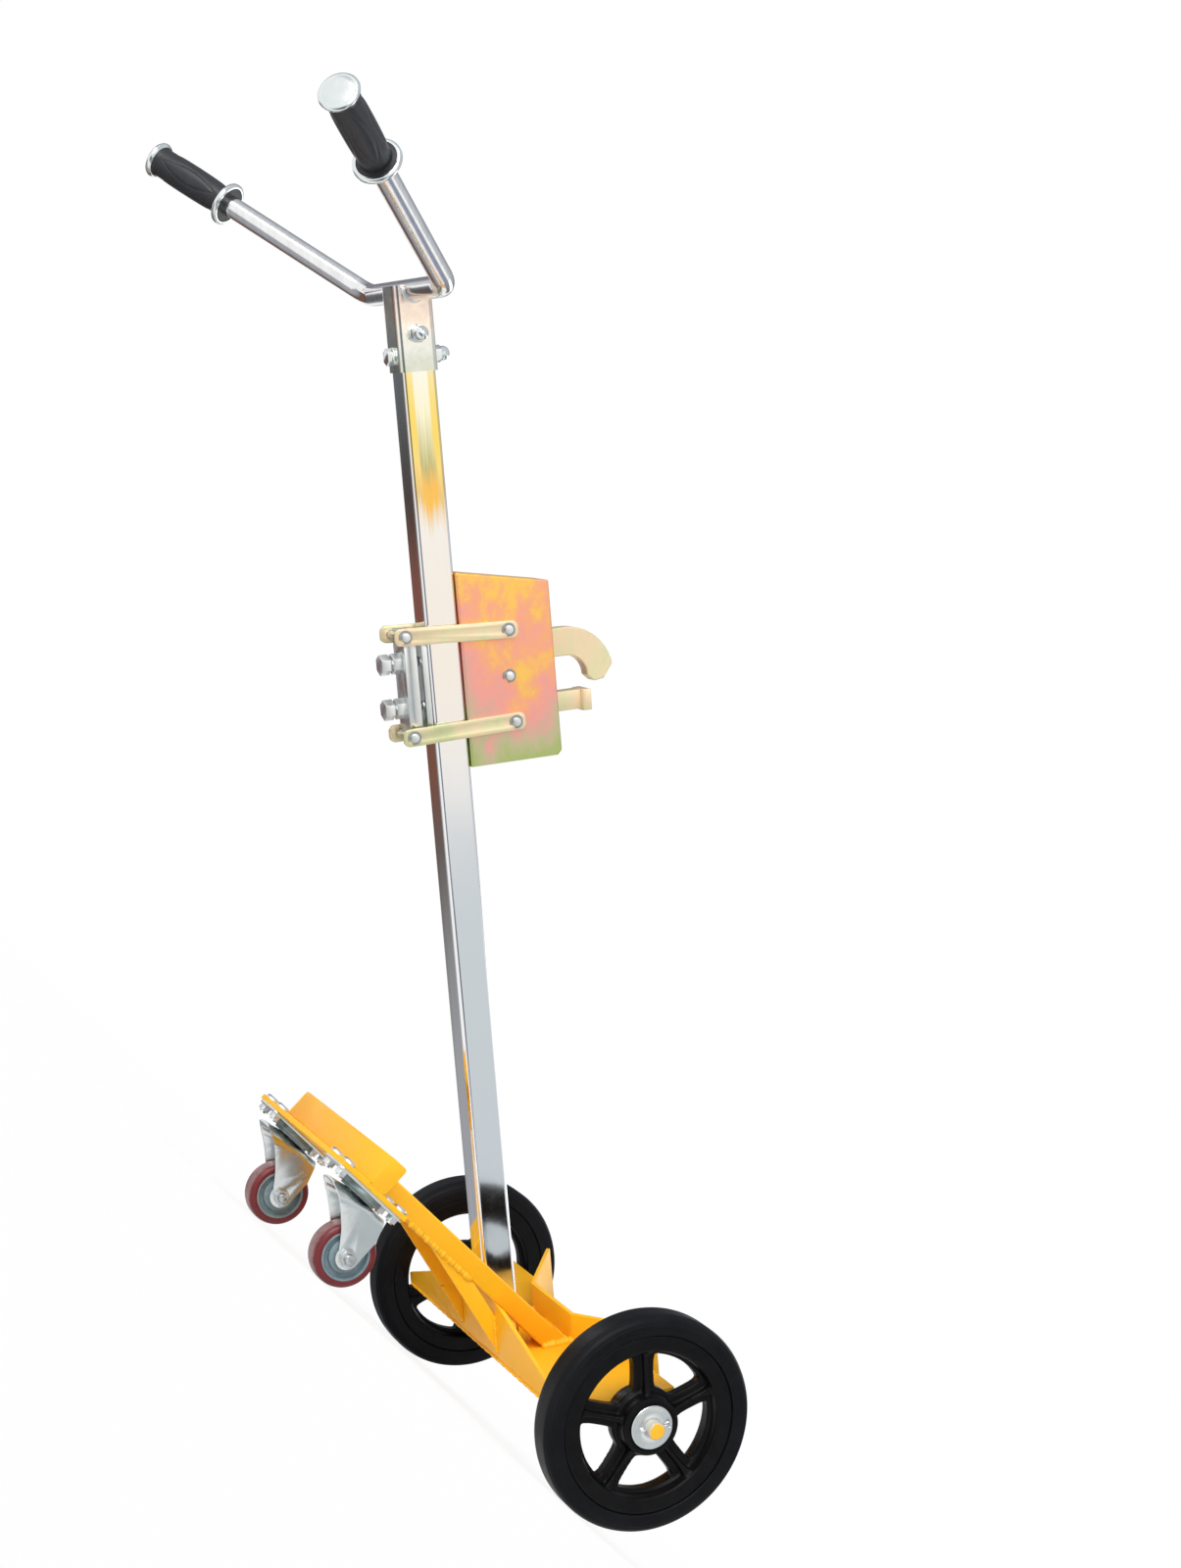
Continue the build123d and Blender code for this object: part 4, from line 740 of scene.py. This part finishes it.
def make_casters(finishes):
    """Rounded forks and plates, crowned treads and stepped cores."""
    tread = mirrored([(28.55, 13.7), (29.2, 14), (32.2, 13.95), (34.2, 13.2), (35.7, 12), (36.7, 10.2),
                      (37.3, 7.6), (37.5, 4)])
    core = mirrored([(5.05, 15.6), (9.4, 15.6), (10, 15), (10.4, 12.9), (18.4, 12.5), (19.4, 11.8),
                     (19.8, 8.6), (20.6, 8), (24.6, 8), (25.3, 8.8), (25.6, 13.2), (26.2, 14), (28.1, 14),
                     (28.5, 13.6)])
    for word, _ in SIDES:
        spot = facing(joint_place(f"caster_{word}_roll"), (0, 1, 0))
        keep(f"caster_tread_{word}_crowned", to_mesh(turned(tread, spot), "tread", sharp=50),
             f"roller_{word}", finishes["maroon"], [f"caster_tread_{word}"])
        keep(f"caster_core_{word}_stepped", to_mesh(turned(core, spot), "core"), f"roller_{word}",
             finishes["core"], [f"caster_core_{word}"])
        softened(f"caster_fork_{word}", 0.8, finishes["fork"], segments=3)
        softened(f"caster_axle_{word}", 0.5, finishes["nut"])
        softened(f"caster_axle_nut_{word}", 0.5, finishes["nut"])
    for node, width in (("caster_top_plates", 0.7), ("kingpins", 0.8), ("caster_nuts", 0.7)):
        softened(node, width, finishes["zinc"])
    softened("swivel_races", 0.8, finishes["race"])
    painted(finishes["zinc"], "caster_bolts")


# Base

# From lump to lump of a weld bead, in metres.
BASE_PITCH = 0.0028
HANDLE_PITCH = 0.0022


def bead_path(points, size, pitch, total):
    """Overlapping lumps of weld along a line of places, each a little different from the next."""
    bm = bmesh.new()
    for start, end in zip(points, points[1:]):
        way = end - start
        count = max(1, round(way.length / pitch))
        for k in range(count + 1):
            spot = start + way * (k / count)
            width = 1 + 0.14 * sin(7.3 * k + 90 * spot.x) + 0.08 * sin(3.1 * k + 70 * spot.y)
            length = 0.72 + 0.1 * sin(5 * k)
            shape = facing(spot, way) @ Matrix.Diagonal((width, width, length, 1))
            bmesh.ops.create_uvsphere(bm, u_segments=10, v_segments=6, radius=size * MM, matrix=shape)
    add_to(total, bm)


def mast_line(*points):
    """Points of the mast frame, in millimetres, as places."""
    return [MAST @ (Vector(point) * MM) for point in points]


def floor_line(*points):
    """Points in millimetres as places."""
    return [Vector(point) * MM for point in points]


def base_seams(side):
    """The weld lines on one side of the base, each with the size of its bead, in millimetres."""
    rear_front, rear_back, rear_end = -78, -83.5, side * 244
    rail, beside_rail = side * 58, side * 58.5
    fold, wing_end = (10, side * 62), (55.5, side * 135)
    beam_front, beam_back, beam_foot, beam_end = -361.5, -386.5, 114.5, side * 155
    return [
        # The rear plate on the floor plate, before and behind.
        (mast_line((rear_front, side * 63, 14.5), (rear_front, rear_end, 14.5)), 2.6),
        (mast_line((rear_back, side * 2, 12), (rear_back, rear_end, 12)), 2.2),
        # The rail's front end on the floor plate, beside and across.
        (mast_line((-24, beside_rail, 15.5), (10, beside_rail, 15.5)), 5.6),
        (mast_line((8, side * 21, 15), (8, side * 57, 15)), 3),
        # The cradle's wing on the floor plate, above and below.
        (mast_line((*fold, 14.6), (*wing_end, 14.6)), 2.6),
        (mast_line((*fold, 9.4), (*wing_end, 9.4)), 2.2),
        # The brace bar under the rail, and its foot on the rear plate.
        (floor_line((-266, rail, 114), (-162, rail, 114)), 4),
        (mast_line((-84, rail, 24), (-84, rail, 66)), 3),
        # The rail's rear end on the caster beam, above and beside.
        (floor_line((beam_front, side * 22, 140), (beam_front, side * 56, 140)), 2.4),
        (floor_line((beam_front, beside_rail, 116), (beam_front, beside_rail, 138)), 2.4),
        # The caster beam on the caster plate, before and behind.
        (floor_line((beam_front, side * 60, beam_foot), (beam_front, beam_end, beam_foot)), 2.4),
        (floor_line((beam_back, side * 2, beam_foot), (beam_back, beam_end, beam_foot)), 2.4),
    ]


def make_base(finishes):
    """The welded base with rounded plates and its weld beads."""
    for node, width in (("floor_plate", 0.7), ("rear_plate", 0.7), ("cradle", 0.8), ("rail_left", 0.6),
                        ("rail_right", 0.6), ("brace_bars", 0.7), ("caster_beam", 0.4),
                        ("beam_end_caps", 0.5), ("caster_plate", 0.8)):
        softened(node, width, finishes["amber"])
    beads = bmesh.new()
    for _, side in SIDES:
        for points, size in base_seams(side):
            bead_path(points, size, BASE_PITCH, beads)
    post_front, cradle_back = -38, 10
    for x in (post_front, cradle_back):
        bead_path(mast_line((x, -19, 14.6), (x, 19, 14.6)), 2.6, BASE_PITCH, beads)
    melt(beads, "weld_beads", "frame", finishes["amber"], voxel=0.9, passes=3)


def make_handle_weld(finishes):
    """Beads round the handle bar, where it leaves the sleeve on both sides."""
    ring_r, sleeve_side = 13, 23.2
    first, last, step = 170, 370, 10
    angles = [radians(angle) for angle in range(first, last + 1, step)]
    beads = bmesh.new()
    for _, side in SIDES:
        arc = [(BAR_CORNER[0] + ring_r * cos(angle), side * sleeve_side, BAR_CORNER[2] + ring_r * sin(angle))
               for angle in angles]
        bead_path(mast_line(*arc), 1.9, HANDLE_PITCH, beads)
    melt(beads, "handle_weld", "frame", finishes["fitting"], voxel=0.7, passes=3)


# Rim gripper

def make_gripper(finishes):
    """The carriage's finishes, with rounded edges."""
    painted(finishes["rainbow"], "gripper_box")
    painted(finishes["straw"], "beak")
    for node, width in (("upper_straps", 0.5), ("lower_straps", 0.5), ("chin_bar", 0.6), ("chin_pad", 0.6)):
        softened(node, width, finishes["straw"])
    for node, width in (("clamp_block", 0.6), ("pressure_plate", 0.6), ("clamp_screw_upper", 0.3),
                        ("clamp_screw_lower", 0.3), ("lock_nuts", 0.3), ("link_pins", 0.6),
                        ("beak_pin", 0.6)):
        softened(node, width, finishes["zinc"])
    painted(finishes["clip"], "pin_clips")
    painted(finishes["zinc"], "beak_spacers")


# Studio

# How far the room and the floor show as plain white.
ROOM_WHITE = 1
FLOOR_WHITE = 0.87
# The strength of the room's light, and the angle that a lamp fills, in degrees.
ROOM_LIGHT = 0.4
LAMP_SPREAD = 35


def show_white(tree, share, plain, white, output):
    """A shader that lights the truck, shown as white to the camera and in reflections only."""
    path = add(tree, "ShaderNodeLightPath").outputs
    seen = maths(tree, "MAXIMUM", path["Is Camera Ray"], path["Is Glossy Ray"])
    seen = maths(tree, "MAXIMUM", seen, path["Is Transmission Ray"])
    mixed = add(tree, "ShaderNodeMixShader")
    join(tree, maths(tree, "MULTIPLY", seen, share), mixed.inputs[0])
    join(tree, plain.outputs[0], mixed.inputs[1])
    join(tree, white.outputs[0], mixed.inputs[2])
    join(tree, mixed.outputs[0], add(tree, output).inputs["Surface"])


def empty_material(name):
    """A material without nodes, and its tree."""
    material = bpy.data.materials.new(name)
    material.use_nodes = True
    material.node_tree.nodes.clear()
    return material, material.node_tree


def flat_sheet(name, material, half, place_at):
    """A flat sheet of the studio, from half its side in metres and its place."""
    bm = bmesh.new()
    bmesh.ops.create_grid(bm, x_segments=1, y_segments=1, size=half, matrix=place_at)
    sheet = bpy.data.objects.new(name, to_mesh(bm, name))
    bpy.context.scene.collection.objects.link(sheet)
    sheet.data.materials.append(material)
    return sheet


def make_floor():
    """A plain pale floor that keeps the shadow."""
    material, tree = empty_material("pale_floor")
    matt = add(tree, "ShaderNodeBsdfDiffuse")
    matt.inputs["Color"].default_value = (0.9, 0.9, 0.9, 1)
    show_white(tree, FLOOR_WHITE, matt, add(tree, "ShaderNodeEmission"), "ShaderNodeOutputMaterial")
    just_below = Matrix.Translation((0, 0, -0.0004))
    floor = flat_sheet("floor", material, half=30, place_at=just_below)


def make_world():
    """An even pale room."""
    world = bpy.data.worlds.new("room")
    bpy.context.scene.world = world
    world.use_nodes = True
    tree = world.node_tree
    tree.nodes.clear()
    soft = add(tree, "ShaderNodeBackground")
    soft.inputs["Strength"].default_value = ROOM_LIGHT
    white = add(tree, "ShaderNodeBackground")
    for light in (soft, white):
        light.inputs["Color"].default_value = (1, 1, 1, 1)
    show_white(tree, ROOM_WHITE, soft, white, "ShaderNodeOutputWorld")


def make_lamps():
    """Soft lamps: a key high on the camera's side, one overhead, one beside the camera and one in front."""
    lamps = (
        ("key", 2.0, PHOTO.to_3x3() @ Vector((-0.15, -0.47, 0.87))),
        ("overhead", 0.8, (0.1, 0.1, 1)),
        ("side", 0.7, (-0.4, -1, 0.3)),
        ("front", 0.4, (0.8, 0.5, 0.4)),
    )
    above = (0, 0, 3)
    for name, energy, towards in lamps:
        lamp = bpy.data.lights.new(name, "SUN")
        lamp.energy = energy
        lamp.angle = radians(LAMP_SPREAD)
        item = bpy.data.objects.new(name, lamp)
        item.matrix_world = facing(above, towards)
        bpy.context.scene.collection.objects.link(item)


def make_card(name, spot, towards, width, height, axis, stops):
    """A plain studio card, shaded along the post or an axis, that shows in reflections only."""
    material, tree = empty_material(name)
    along_post = axis == "mast"
    parts = parts_of(tree, mast_coordinates(tree) if along_post else object_coordinates(tree))
    low, high = stops[0][0], stops[-1][0]
    shares = [((metres - low) / (high - low), colour) for metres, colour in stops]
    shade = span(tree, parts["Z" if along_post else axis], 0, 1, low, high)
    glow = add(tree, "ShaderNodeEmission")
    join(tree, ramp(tree, shade, shares), glow.inputs["Color"])
    join(tree, glow.outputs[0], add(tree, "ShaderNodeOutputMaterial").inputs["Surface"])
    shape = facing(spot, towards) @ Matrix.Diagonal((width, height, 1, 1))
    card = flat_sheet(name, material, half=0.5, place_at=shape)
    card.visible_camera = False
    card.visible_diffuse = False
    card.visible_shadow = False


def make_cards():
    """Cards for the chrome to reflect: on the floor, on the camera's side, in front, above and beyond."""
    make_card("far_floor_card", (-1.0, 2.05, 0.004), (0, 0, 1), 3.0, 3.8, "Y", [
        (0.2, (0.38, 0.39, 0.42)), (0.62, (0.36, 0.37, 0.39)), (0.85, (0.27, 0.27, 0.275)),
        (1.1, (0.13, 0.11, 0.105)), (1.3, (0.20, 0.085, 0.06)), (1.95, (0.22, 0.09, 0.07)),
        (2.2, (0.06, 0.052, 0.045)), (2.5, (0.09, 0.09, 0.092)), (2.8, (0.13, 0.15, 0.16)),
        (3.9, (0.12, 0.145, 0.18)),
    ])
    make_card("near_floor_card", (-0.8, -1.7, 0.004), (0, 0, 1), 2.4, 2.2, "Y", [
        (-2.6, (0.30, 0.33, 0.38)), (-1.2, (0.12, 0.14, 0.18)), (-0.7, (0.34, 0.36, 0.40)),
    ])
    make_card("side_card", (0.5, -2.8, 1.1), (-0.35, 1, -0.2), 3.2, 2.6, "mast", [
        (-1.0, (0.50, 0.54, 0.56)), (-0.7, (0.60, 0.655, 0.685)), (-0.1, (0.63, 0.68, 0.70)),
        (0.05, (0.68, 0.715, 0.74)), (0.2, (0.92, 0.90, 0.86)), (0.42, (1, 0.91, 0.80)),
        (0.72, (1, 0.93, 0.83)), (0.9, (1, 0.98, 0.94)), (1.3, (1, 1, 1)),
    ])
    make_card("low_card", (0.28, -2.75, 0.11), (0, 1, 0), 0.6, 0.3, "X", [
        (0, (0.60, 0.58, 0.55)), (0.15, (0.12, 0.11, 0.10)), (0.40, (0.14, 0.13, 0.12)),
        (0.56, (0.55, 0.57, 0.58)),
    ])
    make_card("front_card", (2.8, 0.6, 0.9), (-1, 0, 0), 6.2, 1.6, "Y", [
        (-2.5, (0.20, 0.22, 0.26)), (0, (0.30, 0.33, 0.41)), (2.5, (0.16, 0.17, 0.20)),
    ])
    make_card("ceiling_card", (-1.0, 1.0, 3), (0, 0, -1), 8, 8, "Y", [
        (-2, (0.60, 0.62, 0.65)), (0.4, (0.62, 0.64, 0.67)), (1.4, (0.42, 0.44, 0.48)),
        (3, (0.22, 0.23, 0.26)),
    ])
    make_card("back_card", (-1.0, 4.2, 1.9), (0, -1, 0), 6, 2.2, "Z", [
        (0.9, (0.9, 0.9, 0.9)), (1.4, (0.46, 0.47, 0.50)), (2.0, (0.20, 0.20, 0.23)),
        (2.9, (0.26, 0.27, 0.30)),
    ])


# Camera

# Its turns in degrees, and its place by the tipped truck in metres.
YAW, PITCH, ROLL = 23.49, 8.24, 0.83
CAMERA_PLACE = (-1.1412, -2.7881, 1.2421)
# Its focal length and the height of its frame in pixels, and of its sensor in millimetres.
FOCAL_PIXELS = 2634.4
FRAME_PIXELS = 1600
SENSOR = 36


def make_camera():
    """The photograph's view of the truck."""
    yaw, pitch, roll = radians(YAW), radians(PITCH), radians(ROLL)
    forward = Vector((sin(yaw) * cos(pitch), cos(yaw) * cos(pitch), -sin(pitch)))
    level = Vector((cos(yaw), -sin(yaw), 0))
    right = cos(roll) * level + sin(roll) * forward.cross(level)
    up = -forward.cross(right)
    camera = bpy.data.cameras.new("camera")
    camera.sensor_fit = "VERTICAL"
    camera.sensor_height = SENSOR
    camera.lens = FOCAL_PIXELS / FRAME_PIXELS * SENSOR
    camera.clip_end = 200
    item = bpy.data.objects.new("camera", camera)
    turn = Matrix((right, up, -forward)).transposed().to_4x4()
    item.matrix_world = PHOTO @ Matrix.Translation(CAMERA_PLACE) @ turn
    bpy.context.scene.collection.objects.link(item)
    bpy.context.scene.camera = item


make_effects()
finishes = make_finishes()
make_handle(finishes)
make_wheels(finishes)
make_casters(finishes)
make_base(finishes)
make_handle_weld(finishes)
make_gripper(finishes)
make_world()
make_floor()
make_lamps()
make_cards()
make_camera()
bpy.context.scene.view_settings.view_transform = "Standard"
